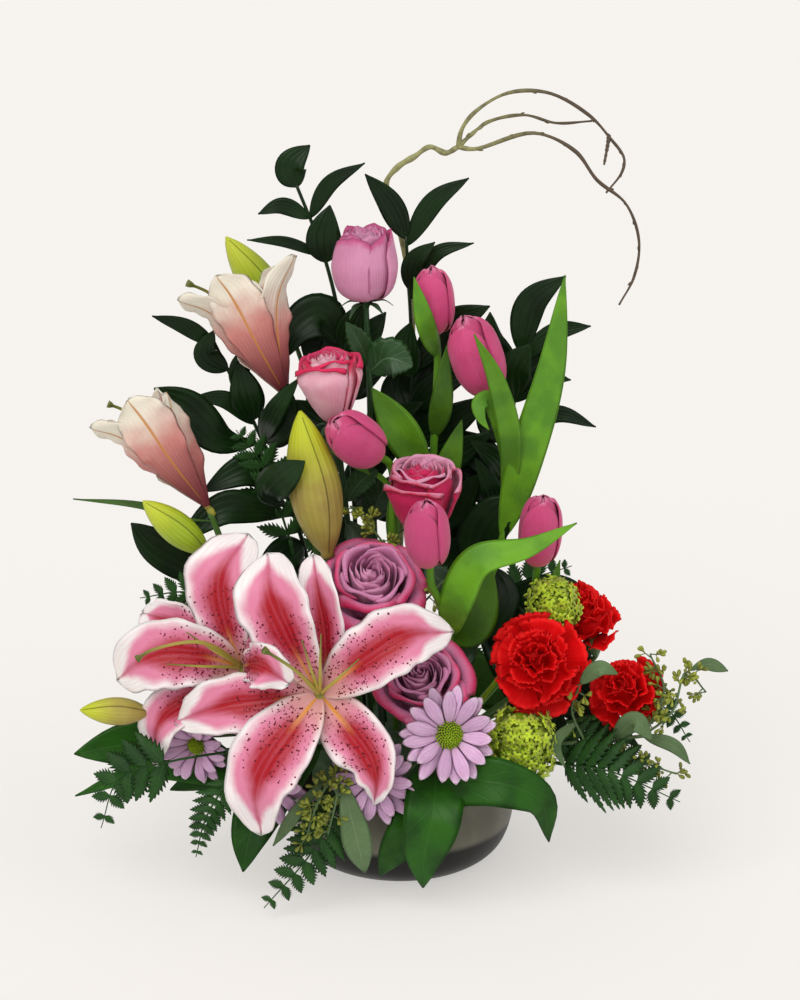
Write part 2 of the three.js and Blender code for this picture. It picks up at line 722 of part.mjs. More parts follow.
/** Sepals turned down under a rose. */
function sepals(base, mouth, size, grow) {
  const [from, to] = [seen(base), seen(mouth)];
  const place = polar(from, to);
  return unite(
    [0, 1, 2, 3, 4].map((k) => {
      const angle = (2 * Math.PI * k) / 5 + 0.3;
      const row = [-0.34, 0, 0.34].map((s) => place(0.55 * size, angle + s, -0.06 * size));
      return sheet([[place(0, angle, -0.1 * size)], row, [place(size, angle, -0.5 * size)]], LEAF, grow);
    }),
  );
}

ROSES.forEach((spec, i) => {
  const node = `rose_${i + 1}`;
  const green = `rose_stem_${i + 1}`;
  element(node, FINISH.rose, RANK.bloom, (grow) => rose(spec, grow));
  const path = growStem(green, FINISH.stemGreen, { ...spec, hip: 4.5 });
  element(green, FINISH.stemGreen, RANK.bud, (grow) => sepals(spec.base, spec.mouth, 13, grow));
  spec.leaves.forEach((one) => growLeaf(green, FINISH.stemGreen, path, one));
});

TULIPS.forEach((spec, i) => {
  const node = `tulip_${i + 1}`;
  const green = `tulip_stem_${i + 1}`;
  element(node, FINISH.tulip, RANK.bloom, (grow) => tulip(spec, grow));
  const path = growStem(green, FINISH.tulipGreen, { ...spec, mouth: spec.tip, thick: 3, thin: 2.6 });
  spec.leaves.forEach((one) => growLeaf(green, FINISH.tulipGreen, path, one, 4));
});

CARNATIONS.forEach((spec, i) => {
  const node = `carnation_${i + 1}`;
  const green = `carnation_stem_${i + 1}`;
  element(node, FINISH.carnation, RANK.bloom, (grow) => carnation(spec, grow));
  growStem(green, FINISH.stemGreen, { ...spec, thick: 1.9, thin: 1.8, hip: 5 });
});

// The two open lilies in front, the two half-open ones at the left, and their buds. A tepal's rib is
// given from its heart to its tip.
const LILIES = [
  {
    heart: [320, 694, -116],
    towards: [-0.35, -1, 0.35],
    tepals: [
      { rib: [[298, 645, -124], [278, 600, -122], [260, 556, -108]], width: 46, peak: 0.58 },
      { rib: [[326, 650, -112], [320, 602, -104], [308, 556, -92]], width: 28, peak: 0.55, plain: true },
      { rib: [[362, 662, -128], [405, 640, -126], [449, 634, -110]], width: 40, peak: 0.5 },
      { rib: [[345, 730, -128], [360, 768, -130], [370, 812, -116]], width: 42, peak: 0.42 },
      { rib: [[287, 735, -134], [262, 780, -140], [258, 839, -124]], width: 50, peak: 0.5 },
      { rib: [[272, 694, -130], [224, 702, -130], [173, 722, -112]], width: 40, peak: 0.52 },
    ],
    style: [[292, 668, -150], [264, 650, -160]],
    filaments: [[321, 634, -150], [359, 659, -152]],
  },
  {
    heart: [243, 667, -80],
    towards: [-0.4, -1, 0.4],
    tepals: [
      { rib: [[230, 625, -88], [222, 580, -84], [250, 534, -68]], width: 40, peak: 0.5 },
      { rib: [[200, 640, -70], [168, 622, -60], [138, 612, -50]], width: 28, peak: 0.5, plain: true },
      { rib: [[200, 660, -92], [155, 662, -92], [110, 684, -78]], width: 44, peak: 0.52 },
      { rib: [[212, 690, -84], [168, 722, -86], [149, 765, -74]], width: 32, peak: 0.5 },
      { rib: [[258, 644, -96], [272, 628, -98], [286, 621, -90]], width: 26, peak: 0.5, plain: true },
      { rib: [[258, 676, -96], [276, 688, -100], [290, 703, -94]], width: 30, peak: 0.5, plain: true },
    ],
    style: [[199, 642, -112], [152, 650, -118], [137, 659, -118]],
    filaments: [[186, 632, -112]],
  },
  {
    heart: [288, 399, 0],
    towards: [-0.5, -0.35, 0.9],
    tepals: [
      { rib: [[252, 357, -14], [216, 312, -20], [179, 297, -22]], width: 26, steps: 4, peak: 0.5 },
      { rib: [[256, 346, -24], [234, 304, -28], [217, 275, -28]], width: 30, steps: 4, peak: 0.5 },
      { rib: [[280, 346, -16], [278, 302, -16], [288, 258, -12]], width: 28, steps: 4, peak: 0.5 },
      { rib: [[262, 347, 12], [247, 303, 18], [232, 280, 24]], width: 26, steps: 4, peak: 0.5, plain: true },
      { rib: [[278, 345, 10], [272, 302, 16], [270, 264, 16]], width: 24, steps: 4, peak: 0.5, plain: true },
      { rib: [[246, 358, 4], [220, 322, 8], [196, 296, 14]], width: 24, steps: 4, peak: 0.5, plain: true },
    ],
    style: [[250, 340, -2], [212, 295, -6], [187, 283, -10]],
    filaments: [],
  },
  {
    heart: [210, 510, -30],
    towards: [-0.8, -0.4, 0.8],
    tepals: [
      { rib: [[163, 474, -44], [128, 440, -52], [92, 424, -54]], width: 26, steps: 4, peak: 0.5 },
      { rib: [[172, 462, -54], [146, 424, -60], [127, 399, -60]], width: 32, steps: 4, peak: 0.5 },
      { rib: [[193, 468, -42], [178, 428, -46], [164, 392, -42]], width: 26, steps: 4, peak: 0.5 },
      { rib: [[176, 462, -18], [156, 424, -12], [142, 396, -8]], width: 26, steps: 4, peak: 0.5, plain: true },
      { rib: [[190, 466, -24], [174, 428, -22], [154, 388, -20]], width: 22, steps: 4, peak: 0.5, plain: true },
      { rib: [[165, 472, -28], [136, 440, -30], [108, 418, -28]], width: 24, steps: 4, peak: 0.5, plain: true },
    ],
    style: [[162, 456, -36], [126, 412, -40], [108, 404, -42]],
    filaments: [],
  },
];

/** A lily: six tepals, a style and filaments, grown from a small heart. */
function lily({ heart, towards, tepals, style, filaments }, grow) {
  const centre = seen(heart);
  const facing = new THREE.Vector3(...towards).normalize();
  const knob = new THREE.OctahedronGeometry(6.5 + grow, 0);
  const threads = filaments.map((tip) => {
    const end = seen(tip);
    const out = centre.clone().lerp(end, 0.5).addScaledVector(TO_VIEWER, 8);
    return limb(along([centre, out, end], 2), [1.2, 0.9, 1.7], 3, grow);
  });
  return unite([
    solidOf(knob, centre),
    limb(along([centre, ...style.map(seen)], 3), [1.4, 1.1, 1.1, 2.2], 4, grow),
    ...threads,
    ...tepals.map((one) => tepal({ ...one, rib: [centre, ...one.rib.map(seen)] }, facing, grow)),
  ]);
}

const BUDS = {
  bud_1: { base: [288, 322, 46], tip: [226, 237, 40], radius: 13 },
  bud_2: { base: [328, 556, -44], tip: [300, 411, -52], radius: 18 },
  bud_3: { base: [208, 553, -52], tip: [143, 501, -66], radius: 11 },
  bud_4: { base: [150, 712, -78], tip: [80, 710, -90], radius: 9.5 },
};

LILIES.forEach((spec, i) => {
  element(`lily_${i + 1}`, FINISH.lily, RANK.bloom, (grow) => lily(spec, grow));
});

const frontStem = growStem("lily_stem_front", FINISH.lilyGreen, {
  foot: [-30, -34], via: [[318, 700, -50], [318, 620, -40]], base: BUDS.bud_2.base, mouth: BUDS.bud_2.tip,
  thick: 3.2, thin: 2,
});
growShoot(
  "lily_stem_front", FINISH.lilyGreen, frontStem,
  [[320, 690, -50], [320, 696, -84], [320, 694, -116]], 2.4, 2.2, 3,
);
const secondShoot = growShoot(
  "lily_stem_front", FINISH.lilyGreen, frontStem,
  [[320, 700, -50], [280, 698, -54], [254, 680, -62], [243, 667, -80]], 2.4, 2, 4,
);
growShoot(
  "lily_stem_front", FINISH.lilyGreen, secondShoot,
  [[262, 690, -60], [205, 712, -58], [150, 712, -78]], 1.6, 1.6, 4,
);
const leftStem = growStem("lily_stem_left", FINISH.lilyGreen, {
  foot: [-50, -4], via: [[262, 640, -22]], base: [210, 512, -30], thick: 3, thin: 2.2,
});
growShoot(
  "lily_stem_left", FINISH.lilyGreen, leftStem,
  [[240, 590, -26], [226, 572, -40], [208, 553, -52]], 1.8, 1.6, 3,
);
growLeaf("lily_stem_left", FINISH.lilyGreen, leftStem, {
  rib: [[214, 522, -30], [180, 518, -34], [143, 506, -40], [73, 499, -48]], width: 5.5, roll: 20, peak: 0.6,
});
const backStem = growStem("lily_stem_back", FINISH.lilyGreen, {
  foot: [-32, 10], via: [[322, 580, 2], [304, 470, 4]], base: [288, 400, 0], thick: 3, thin: 2.2,
});
growShoot(
  "lily_stem_back", FINISH.lilyGreen, backStem,
  [[304, 450, 4], [308, 390, 30], [288, 322, 46]], 1.8, 1.6, 3,
);

[["front", "bud_2"], ["front", "bud_4"], ["left", "bud_3"], ["back", "bud_1"]].forEach(([side, name]) => {
  element(`lily_stem_${side}`, FINISH.lilyGreen, RANK.bud, (grow) => bud(BUDS[name], grow));
});

// Daisies on two sprays; the disc in a daisy's middle is the raised heart of its ring of rays.
const DAISIES = [
  { centre: [449, 735, -114], towards: [0.12, -1, 0.25], radius: 36, cup: 0.12 },
  { centre: [374, 780, -104], towards: [-0.1, -1, 0.05], radius: 33, cup: 0.14 },
  { centre: [203, 668, -60], towards: [-0.3, -1, 0.2], radius: 20, cup: 0.3 },
  { centre: [198, 744, -62], towards: [-0.4, -1, -0.1], radius: 26, cup: 0.3 },
  { centre: [268, 782, -96], towards: [-0.3, -1, -0.15], radius: 30, cup: 0.2 },
];

/** A thin neck that widens under a daisy and leaves a small gap below it. */
function growNeck(node, path, spec, from) {
  const centre = seen(spec.centre);
  const out = new THREE.Vector3(...spec.towards).normalize();
  const start = nearest(path, from);
  const behind = centre.clone().addScaledVector(out, -12);
  const under = centre.clone().addScaledVector(out, -PETAL / 2 - 2 * GAP);
  const points = [start, start.clone().lerp(behind, 0.6), behind, under];
  element(node, FINISH.stemGreen, RANK.stem, (grow) => limb(points, [1.3, 1.2, 1.3, 0.18 * spec.radius], 4, grow));
}

DAISIES.forEach((spec, i) => element(`daisy_${i + 1}`, FINISH.daisy, RANK.bloom, (grow) => daisy(spec, grow)));
const frontSpray = growStem("daisy_spray_front", FINISH.stemGreen, {
  foot: [6, -56], base: [412, 770, -84], thick: 2, thin: 1.6, steps: 3,
});
growNeck("daisy_spray_front", frontSpray, DAISIES[0], [412, 770, -84]);
growNeck("daisy_spray_front", frontSpray, DAISIES[1], [412, 776, -82]);
const leftSpray = growStem("daisy_spray_left", FINISH.stemGreen, {
  foot: [-56, -18], via: [[262, 752, -56]], base: [215, 700, -48], thick: 2, thin: 1.6, steps: 4,
});
growNeck("daisy_spray_left", leftSpray, DAISIES[2], [215, 700, -48]);
growNeck("daisy_spray_left", leftSpray, DAISIES[3], [240, 735, -54]);
growNeck("daisy_spray_left", leftSpray, DAISIES[4], [275, 765, -62]);

const VIBURNUMS = [
  { centre: [521, 745, -82], radii: [22, 19, 29], florets: 15, size: 7.4, seed: 5, foot: [30, -48] },
  { centre: [553, 606, -46], radii: [17, 12, 20], florets: 12, size: 6.6, seed: 9, foot: [40, -14] },
];
VIBURNUMS.forEach((spec, i) => {
  const node = `viburnum_${i + 1}`;
  element(node, FINISH.viburnum, RANK.bloom, (grow) => snowball(spec, grow));
  growStem(node, FINISH.viburnum, { foot: spec.foot, base: spec.centre, thick: 1.8, thin: 1.8, steps: 4 });
});

// ----------------------------------------------------------------- greens
const RUSCUS = {
  ruscus_top_left: {
    foot: [-26, 32],
    via: [[352, 470, 28], [341, 330, 30], [324, 256, 34]],
    base: [296, 184, 38],
    leaves: [
      { rib: [[297, 187, 38], [291, 166, 34], [310, 145, 36]], width: 22 },
      { rib: [[309, 218, 36], [330, 184, 34], [365, 163, 30]], width: 12 },
      { rib: [[309, 218, 36], [282, 206, 32], [258, 214, 28]], width: 12 },
      { rib: [[326, 262, 34], [324, 236, 28], [330, 205, 30]], width: 25 },
      { rib: [[324, 256, 34], [285, 242, 28], [247, 240, 24]], width: 8 },
      { rib: [[341, 330, 30], [318, 318, 30], [292, 322, 28]], width: 18 },
      { rib: [[344, 370, 28], [352, 340, 24], [346, 318, 26]], width: 14 },
    ],
  },
  ruscus_top: {
    foot: [14, 38],
    via: [[412, 470, 40], [411, 330, 42]],
    base: [406, 236, 42],
    leaves: [
      { rib: [[406, 240, 42], [390, 204, 38], [365, 174, 34]], width: 18 },
      { rib: [[407, 246, 42], [434, 202, 40], [469, 178, 36]], width: 15 },
      { rib: [[409, 290, 42], [414, 262, 36], [435, 242, 34]], width: 15 },
      { rib: [[409, 300, 42], [436, 254, 38], [474, 243, 34]], width: 11 },
      { rib: [[411, 370, 42], [405, 345, 34], [412, 322, 32]], width: 15 },
      { rib: [[411, 372, 42], [450, 322, 36], [490, 308, 30]], width: 14 },
    ],
  },
  ruscus_right: {
    foot: [42, 22],
    via: [[504, 500, 22], [512, 420, 26]],
    base: [520, 350, 28],
    leaves: [
      { rib: [[519, 352, 28], [531, 304, 26], [564, 276, 22]], width: 20 },
      { rib: [[519, 360, 28], [556, 332, 24], [591, 326, 20]], width: 12 },
      { rib: [[514, 396, 26], [513, 372, 18], [524, 346, 18]], width: 16 },
      { rib: [[510, 438, 24], [556, 414, 20], [596, 427, 16]], width: 11 },
      { rib: [[506, 500, 22], [492, 520, 8], [468, 545, 2]], width: 22 },
      { rib: [[506, 530, 22], [504, 580, 8], [498, 627, 2]], width: 17 },
    ],
  },
  ruscus_left: {
    foot: [-46, 18],
    via: [[302, 540, 16], [262, 440, 14]],
    base: [214, 342, 12],
    leaves: [
      { rib: [[216, 345, 12], [186, 327, 10], [152, 316, 6]], width: 11 },
      { rib: [[226, 372, 12], [209, 352, 8], [215, 330, 6]], width: 17 },
      { rib: [[240, 400, 12], [242, 368, 6], [254, 341, 4]], width: 13 },
      { rib: [[262, 442, 12], [276, 418, -12], [298, 386, -20]], width: 10 },
      { rib: [[262, 444, 12], [222, 440, 0], [188, 410, -8], [154, 388, -12]], width: 26, peak: 0.6 },
      { rib: [[290, 520, 12], [262, 514, -10], [225, 510, -22], [178, 542, -30]], width: 22, peak: 0.6 },
      { rib: [[288, 512, 12], [278, 492, -28], [303, 464, -40]], width: 20, peak: 0.6 },
      { rib: [[302, 575, 14], [205, 572, -12], [160, 548, -18], [131, 523, -22]], width: 25, peak: 0.6 },
    ],
  },
};
Object.entries(RUSCUS).forEach(([node, spec]) => {
  const path = growStem(node, FINISH.ruscus, { ...spec, thick: 1.8, thin: 1.2 });
  spec.leaves.forEach((one) => growLeaf(node, FINISH.ruscus, path, one));
});

/** A eucalyptus twig that carries round seeds, one after another on alternate sides. */
function growSeeded(node, places, count, seed) {
  const curve = new THREE.CatmullRomCurve3(places.map(seen), false, "centripetal");
  const roll = dice(seed);
  const points = [];
  const radii = [];
  for (let i = 0; i < count; i++) {
    const aside = at(roll() - 0.5, roll() - 0.5, roll() - 0.5).normalize();
    for (const [step, radius] of [[0, 0.9], [0.5, 2.7]]) {
      const share = (i + step) / count;
      points.push(curve.getPoint(share).addScaledVector(aside, radius > 1 ? 1.9 : 0));
      radii.push(radius);
    }
  }
  points.push(curve.getPoint(1));
  radii.push(0);
  element(node, FINISH.eucalyptus, RANK.bud, (grow) => limb(points, radii, 4, grow));
}

// A spray's twig runs to base; the seeded twigs fork from it.
const EUCALYPTUS = {
  eucalyptus_right: {
    foot: [60, -34],
    via: [[585, 742, -66]],
    base: [644, 736, -70],
    leaves: [
      { rib: [[643, 736, -70], [684, 696, -40], [728, 671, -36]], width: 7, peak: 0.7 },
      { rib: [[590, 742, -66], [586, 706, -36], [578, 676, -36]], width: 9 },
      { rib: [[643, 736, -70], [674, 746, -82], [690, 764, -86]], width: 10 },
      { rib: [[600, 742, -66], [622, 744, -88], [648, 740, -92]], width: 12 },
    ],
    seeded: [
      { places: [[643, 736, -70], [672, 712, -72], [704, 680, -66]], count: 6, seed: 3 },
      { places: [[600, 742, -68], [632, 760, -74], [676, 774, -76]], count: 7, seed: 4 },
    ],
  },
  eucalyptus_front: {
    foot: [-12, -58],
    via: [],
    base: [338, 764, -100],
    leaves: [
      { rib: [[338, 764, -100], [354, 828, -120], [365, 873, -110]], width: 20, peak: 0.6 },
      { rib: [[338, 764, -100], [300, 808, -112], [273, 846, -106]], width: 9, peak: 0.6 },
    ],
    seeded: [
      { places: [[338, 766, -101], [318, 802, -121], [306, 838, -116]], count: 6, seed: 5 },
      { places: [[338, 766, -101], [336, 800, -116], [328, 834, -118]], count: 5, seed: 6 },
    ],
  },
  eucalyptus_middle: {
    foot: [0, -12],
    via: [],
    base: [394, 622, -32],
    leaves: [],
    seeded: [
      { places: [[394, 624, -32], [400, 576, -36], [372, 528, -36], [350, 506, -38]], count: 6, seed: 7 },
      { places: [[394, 624, -32], [420, 606, -50], [444, 580, -56]], count: 5, seed: 8 },
    ],
  },
};
Object.entries(EUCALYPTUS).forEach(([node, { leaves, seeded, ...spec }]) => {
  const path = growStem(node, FINISH.eucalyptus, { ...spec, thick: 1.5, thin: 1.3, steps: 3 });
  leaves.forEach((one) => growLeaf(node, FINISH.eucalyptus, path, one));
  seeded.forEach(({ places, count, seed }) => growSeeded(node, places, count, seed));
});

const FERNS = {
  fern_left: {
    foot: [-50, -40],
    fronds: [
      { rib: [[225, 742, -80], [165, 766, -96], [101, 828, -96]], width: 40, pairs: 4 },
      { rib: [[228, 780, -82], [204, 818, -96], [194, 857, -92]], width: 22, pairs: 4 },
    ],
  },
  fern_front: {
    foot: [-22, -52],
    fronds: [{ rib: [[342, 800, -104], [312, 852, -116], [264, 908, -118]], width: 34, pairs: 4 }],
  },
  fern_right: {
    foot: [58, -40],
    fronds: [
      { rib: [[562, 774, -68], [612, 778, -88], [680, 803, -90]], width: 40, pairs: 4 },
      { rib: [[600, 752, -50], [650, 736, -44], [692, 744, -42]], width: 22, pairs: 4 },
    ],
  },
  fern_upper: {
    foot: [-56, 6],
    fronds: [
      { rib: [[290, 540, 2], [265, 470, -6], [238, 432, -10]], width: 32, pairs: 4 },
      { rib: [[232, 606, -18], [186, 592, -30], [140, 598, -34]], width: 22, pairs: 4 },
    ],
  },
  fern_back: {
    foot: [0, 54],
    fronds: [
      { rib: [at(-20, 70, 140), at(-55, 92, 210), at(-88, 100, 262)], width: 56, roll: 180, pairs: 4 },
      { rib: [at(40, 68, 130), at(90, 84, 175), at(128, 84, 190)], width: 46, roll: 180, pairs: 4 },
    ],
  },
};
Object.entries(FERNS).forEach(([node, { foot, fronds }]) => {
  const path = growStem(node, FINISH.fern, { foot, base: fronds[0].rib[0], thick: 1.5, thin: 1.3, steps: 2 });
  fronds.forEach((one, i) => {
    if (i > 0) growShoot(node, FINISH.fern, path, [path[1], one.rib[0]], 1.4, 1.3, 1);
    element(node, FINISH.fern, RANK.fern, (grow) => frond(one, grow));
  });
});

const COLLARS = {
  collar_front: {
    foot: [20, -62],
    leaves: [
      { rib: [[440, 778, -98], [498, 782, -118], [540, 800, -116], [549, 842, -104]], width: 34 },
      { rib: [[436, 778, -98], [432, 820, -122], [424, 856, -118], [423, 888, -108]], width: 40 },
      { rib: [[424, 792, -88], [408, 832, -104], [392, 854, -103], [380, 876, -96]], width: 30 },
    ],
  },
  collar_left: {
    foot: [-44, -46],
    leaves: [
      { rib: [[268, 796, -72], [250, 834, -92], [243, 872, -98]], width: 34 },
      { rib: [[240, 770, -50], [185, 754, -38], [130, 748, -42], [74, 752, -52]], width: 32, peak: 0.6 },
    ],
  },
  collar_back: {
    foot: [0, 62],
    leaves: [
      { rib: [at(20, 78, 96), at(52, 104, 92), at(84, 112, 52)], width: 40, roll: 180 },
      { rib: [at(-20, 78, 96), at(-52, 106, 90), at(-80, 112, 48)], width: 40, roll: 180 },
      { rib: [at(0, 80, 96), at(0, 112, 92), at(4, 122, 46)], width: 40, roll: 180 },
    ],
  },
};
Object.entries(COLLARS).forEach(([node, { foot, leaves }]) => {
  const path = growStem(node, FINISH.collar, {
    foot, base: at(1.25 * foot[0], 1.25 * foot[1], FOAM.top + 12), thick: 1.8, thin: 1.6, steps: 3,
  });
  leaves.forEach(({ rib, ...rest }) =>
    growLeaf(node, FINISH.collar, path, { ...rest, rib: [path[path.length - 1], ...rib] }, 4),
  );
});

// Curly willow: one twig that forks into three arching branches with small buds.
const WILLOW = {
  trunk: [
    [404, 470, 56], [412, 320, 58], [400, 228, 56], [386, 184, 50], [398, 167, 48], [414, 157, 46],
    [430, 147, 46], [446, 153, 46], [458, 147, 46],
  ],
  branches: [
    [
      [458, 147, 46], [462, 129, 45], [475, 112, 44], [508, 93, 44], [549, 93, 44], [590, 116, 46],
      [610, 138, 46], [624, 158, 44], [622, 172, 42], [606, 193, 40],
    ],
    [[458, 147, 46], [472, 134, 50], [488, 122, 54], [524, 115, 58], [556, 123, 58], [592, 121, 56]],
    [
      [458, 147, 46], [475, 149, 40], [534, 133, 34], [575, 151, 32], [597, 180, 32], [626, 204, 34],
      [639, 241, 36], [634, 277, 36], [619, 305, 34],
    ],
    [[609, 137, 46], [607, 149, 42], [604, 165, 40]],
  ],
};
growStem("willow", FINISH.willow, {
  foot: [-6, 42], via: WILLOW.trunk.slice(0, -1), base: WILLOW.trunk[8], thick: 2.4, thin: 1.7, steps: 10,
});
WILLOW.branches.forEach((places) => {
  const steps = places.length;
  const path = along(places.map(seen), steps);
  element("willow", FINISH.willow, RANK.stem, (grow) =>
    limb(path, path.map((_, i) => 1.5 - (0.7 * i) / steps + (i % 3 === 1 ? 0.35 : 0)), 4, grow),
  );
});

// ================================================================= solids to meshes

// Small moves of a neighbour that clear what is left where its grown copy folds into itself.
const NUDGES = [0, 1, -1].flatMap((s) => [[s * GAP, 0, 0], [0, s * GAP, 0], [0, 0, s * GAP]]);

/** Each element less the grown solids of higher rank in other nodes, joined node by node. */
function assemble() {
  const order = elements.map((one, i) => ({ ...one, i })).sort((a, b) => a.rank - b.rank || a.i - b.i);
  const made = [];
  const parts = new Map();
  const apart = (a, b) => [0, 1, 2].some((k) => a.min[k] > b.max[k] || b.min[k] > a.max[k]);
  for (const { node, make } of order) {
    let solid = make(0);
    const box = solid.boundingBox();
    for (const other of made) {
      if (other.node === node || apart(box, other.box)) continue;
      solid = solid.subtract(other.grown);
      if (solid.intersect(other.plain).volume() < 1e-4) continue;
      for (const step of NUDGES) solid = solid.subtract(other.plain.translate(step));
    }
    const grown = make(GAP);
    made.push({ node, grown, plain: solid, box: grown.boundingBox() });
    parts.set(node, [...(parts.get(node) ?? []), solid]);
  }
  return parts;
}

/** The largest body of a solid. */
function largest(solid) {
  const bodies = solid.decompose();
  return bodies.reduce((a, b) => (b.volume() > a.volume() ? b : a));
}

/** A mesh geometry from a solid. */
function geometryOf(solid) {
  const { vertProperties, triVerts } = solid.getMesh();
  const geometry = new THREE.BufferGeometry();
  geometry.setAttribute("position", new THREE.BufferAttribute(vertProperties, 3));
  geometry.setIndex(new THREE.BufferAttribute(triVerts, 1));
  return geometry;
}

const arrangement = new THREE.Group();
arrangement.name = "flower_bowl_arrangement";
for (const [node, pieces] of assemble()) {
  const joined = largest(unite(pieces));
  const whole = largest(solidOf(mergeVertices(geometryOf(joined), WELD)));
  const mesh = new THREE.Mesh(geometryOf(whole), new THREE.MeshStandardMaterial(finishes.get(node)));
  mesh.name = node;
  arrangement.add(mesh);
}

export default arrangement;
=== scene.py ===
"""Looks of a flower arrangement in a low dark bowl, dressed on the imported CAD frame.

A place is written (u, v, y): u and v are units of an 800 by 1000 front view and y is the depth in
millimetres, from the bowl's axis and away from the viewer. Shapes are made in millimetres and turned
into metres when a piece is made.
"""
import json
import logging
import math
from dataclasses import dataclass, replace
from enum import Enum
from functools import cache, cached_property
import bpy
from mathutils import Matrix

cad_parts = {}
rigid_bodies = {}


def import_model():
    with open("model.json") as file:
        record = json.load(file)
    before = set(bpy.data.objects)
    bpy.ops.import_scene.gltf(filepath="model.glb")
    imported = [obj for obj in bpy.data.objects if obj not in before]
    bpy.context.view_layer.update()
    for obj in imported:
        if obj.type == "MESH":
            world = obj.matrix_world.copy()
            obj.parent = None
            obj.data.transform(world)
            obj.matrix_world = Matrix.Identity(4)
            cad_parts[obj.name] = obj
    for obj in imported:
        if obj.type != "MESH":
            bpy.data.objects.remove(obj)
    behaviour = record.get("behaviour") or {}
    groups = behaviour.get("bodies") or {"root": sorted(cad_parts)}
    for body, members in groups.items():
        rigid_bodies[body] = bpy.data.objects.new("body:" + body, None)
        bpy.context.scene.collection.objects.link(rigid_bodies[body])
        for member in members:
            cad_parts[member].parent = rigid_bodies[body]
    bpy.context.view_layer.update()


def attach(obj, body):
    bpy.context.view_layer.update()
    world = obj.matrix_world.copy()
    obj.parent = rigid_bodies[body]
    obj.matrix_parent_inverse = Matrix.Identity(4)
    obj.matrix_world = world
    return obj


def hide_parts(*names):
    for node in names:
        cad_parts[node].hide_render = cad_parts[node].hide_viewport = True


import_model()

from types import MappingProxyType
from typing import Callable, Iterable, Mapping, Optional, Sequence

import bpy
import numpy as np
from mathutils import Matrix, Vector

log = logging.getLogger("arrangement")

Point = np.ndarray
Place = Sequence[float]
Colour = tuple[float, float, float]
Lift = Callable[[np.ndarray, np.ndarray, np.ndarray], np.ndarray]
Inputs = Mapping[object, object]

NOTHING: Inputs = MappingProxyType({})

# The front view: its eye, its middle, and the millimetres of a unit of it above the bowl's axis.
EYE_DISTANCE = 1600.0
EYE_RISE = math.radians(16)
UNIT_SIZE = 0.7
CENTRE_U, CENTRE_V = 400.0, 500.0
SIGHT_HEIGHT = 265.0
FOCAL = EYE_DISTANCE / UNIT_SIZE
TO_VIEWER = np.array([0.0, -math.cos(EYE_RISE), math.sin(EYE_RISE)])

# Stems: the foam that holds them, and how straight each one runs under its bloom.
FOAM_TOP = 92.0
STEM_DEPTH = 26.0
STEM_LEAN = 0.8
HOLE_LIP = 3.0
STRAIGHT_NECK = 14.0
BLOOM_GRIP = 1.5

LEAF_THICKNESS = 0.7
LEAFLET_THICKNESS = 0.45
SEPAL_THICKNESS = 0.5
TEPAL_THICKNESS = 0.8
RAY_THICKNESS = 0.5

GOLDEN_ANGLE = math.pi * (3 - math.sqrt(5))
ANY_TURN = 6.28
TO_METRES = 0.001


# ---- places and curves


def seen(place: Place) -> Point:
    """The point in millimetres of a place.

    Args:
        place: (u, v, y), or an array that already is a point.

    Returns:
        The point in the row frame.
    """
    if isinstance(place, np.ndarray):
        return place.copy()
    u, v, y = place
    cos, sin = math.cos(EYE_RISE), math.sin(EYE_RISE)
    slope = (CENTRE_V - v) / FOCAL
    up = (slope * EYE_DISTANCE + y * (slope * cos - sin)) / (cos + slope * sin)
    away = EYE_DISTANCE + y * cos - up * sin
    return np.array([(u - CENTRE_U) / FOCAL * away, y, SIGHT_HEIGHT + up])


def at(x: float, y: float, z: float) -> Point:
    """A point given in millimetres."""
    return np.array([x, y, z], dtype=float)


def unit(vector: Point) -> Point:
    """The vector with length 1."""
    return vector / max(1e-9, float(np.linalg.norm(vector)))


def swell(t: np.ndarray, peak: float, power: float = 1.0) -> np.ndarray:
    """Width from 0 at root and tip to 1 at the peak; a power below 1 makes the ends blunter."""
    return np.abs(np.sin(math.pi * np.clip(t, 0.0, 1.0) ** (math.log(0.5) / math.log(peak)))) ** power


def eased(value: np.ndarray, low: float, high: float) -> np.ndarray:
    """A smooth step from 0 at low to 1 at high."""
    t = np.clip((value - low) / (high - low), 0.0, 1.0)
    return t * t * (3 - 2 * t)


class Curve:
    """A centripetal curve through points, as the solids' stems and ribs follow."""

    def __init__(self, points: Iterable[Place]) -> None:
        """Keeps the points that the curve goes through, and one beyond each end."""
        knots = [np.asarray(p, dtype=float) for p in points]
        self.knots = [2 * knots[0] - knots[1], *knots, 2 * knots[-1] - knots[-2]]

    def at(self, share: float) -> Point:
        """The point at a share of the curve.

        Args:
            share: From 0 at the first point to 1 at the last.

        Returns:
            The point.
        """
        place = (len(self.knots) - 3) * share
        i = min(int(place + 1e-12), len(self.knots) - 4)
        w = place - i
        p0, p1, p2, p3 = self.knots[i : i + 4]
        d0, d1, d2 = (float(np.dot(b - a, b - a)) ** 0.25 for a, b in ((p0, p1), (p1, p2), (p2, p3)))
        d1 = d1 or 1.0
        d0, d2 = d0 or d1, d2 or d1
        t1 = ((p1 - p0) / d0 - (p2 - p0) / (d0 + d1) + (p2 - p1) / d1) * d1
        t2 = ((p2 - p1) / d1 - (p3 - p1) / (d1 + d2) + (p3 - p2) / d2) * d1
        bend = (3 * (p2 - p1) - 2 * t1 - t2) * w * w + (2 * (p1 - p2) + t1 + t2) * w**3
        return p1 + t1 * w + bend

    def points(self, steps: int) -> np.ndarray:
        """Even points along the curve."""
        return np.array([self.at(i / steps) for i in range(steps + 1)])


def through(*places: Place) -> Curve:
    """The curve through places."""
    return Curve([seen(place) for place in places])


def closest(path: np.ndarray, place: Place) -> Point:
    """The point of a path nearest to a place."""
    fine = Curve(path[1:]).points(4 * len(path))
    return fine[int(np.argmin(np.linalg.norm(fine - seen(place), axis=1)))]


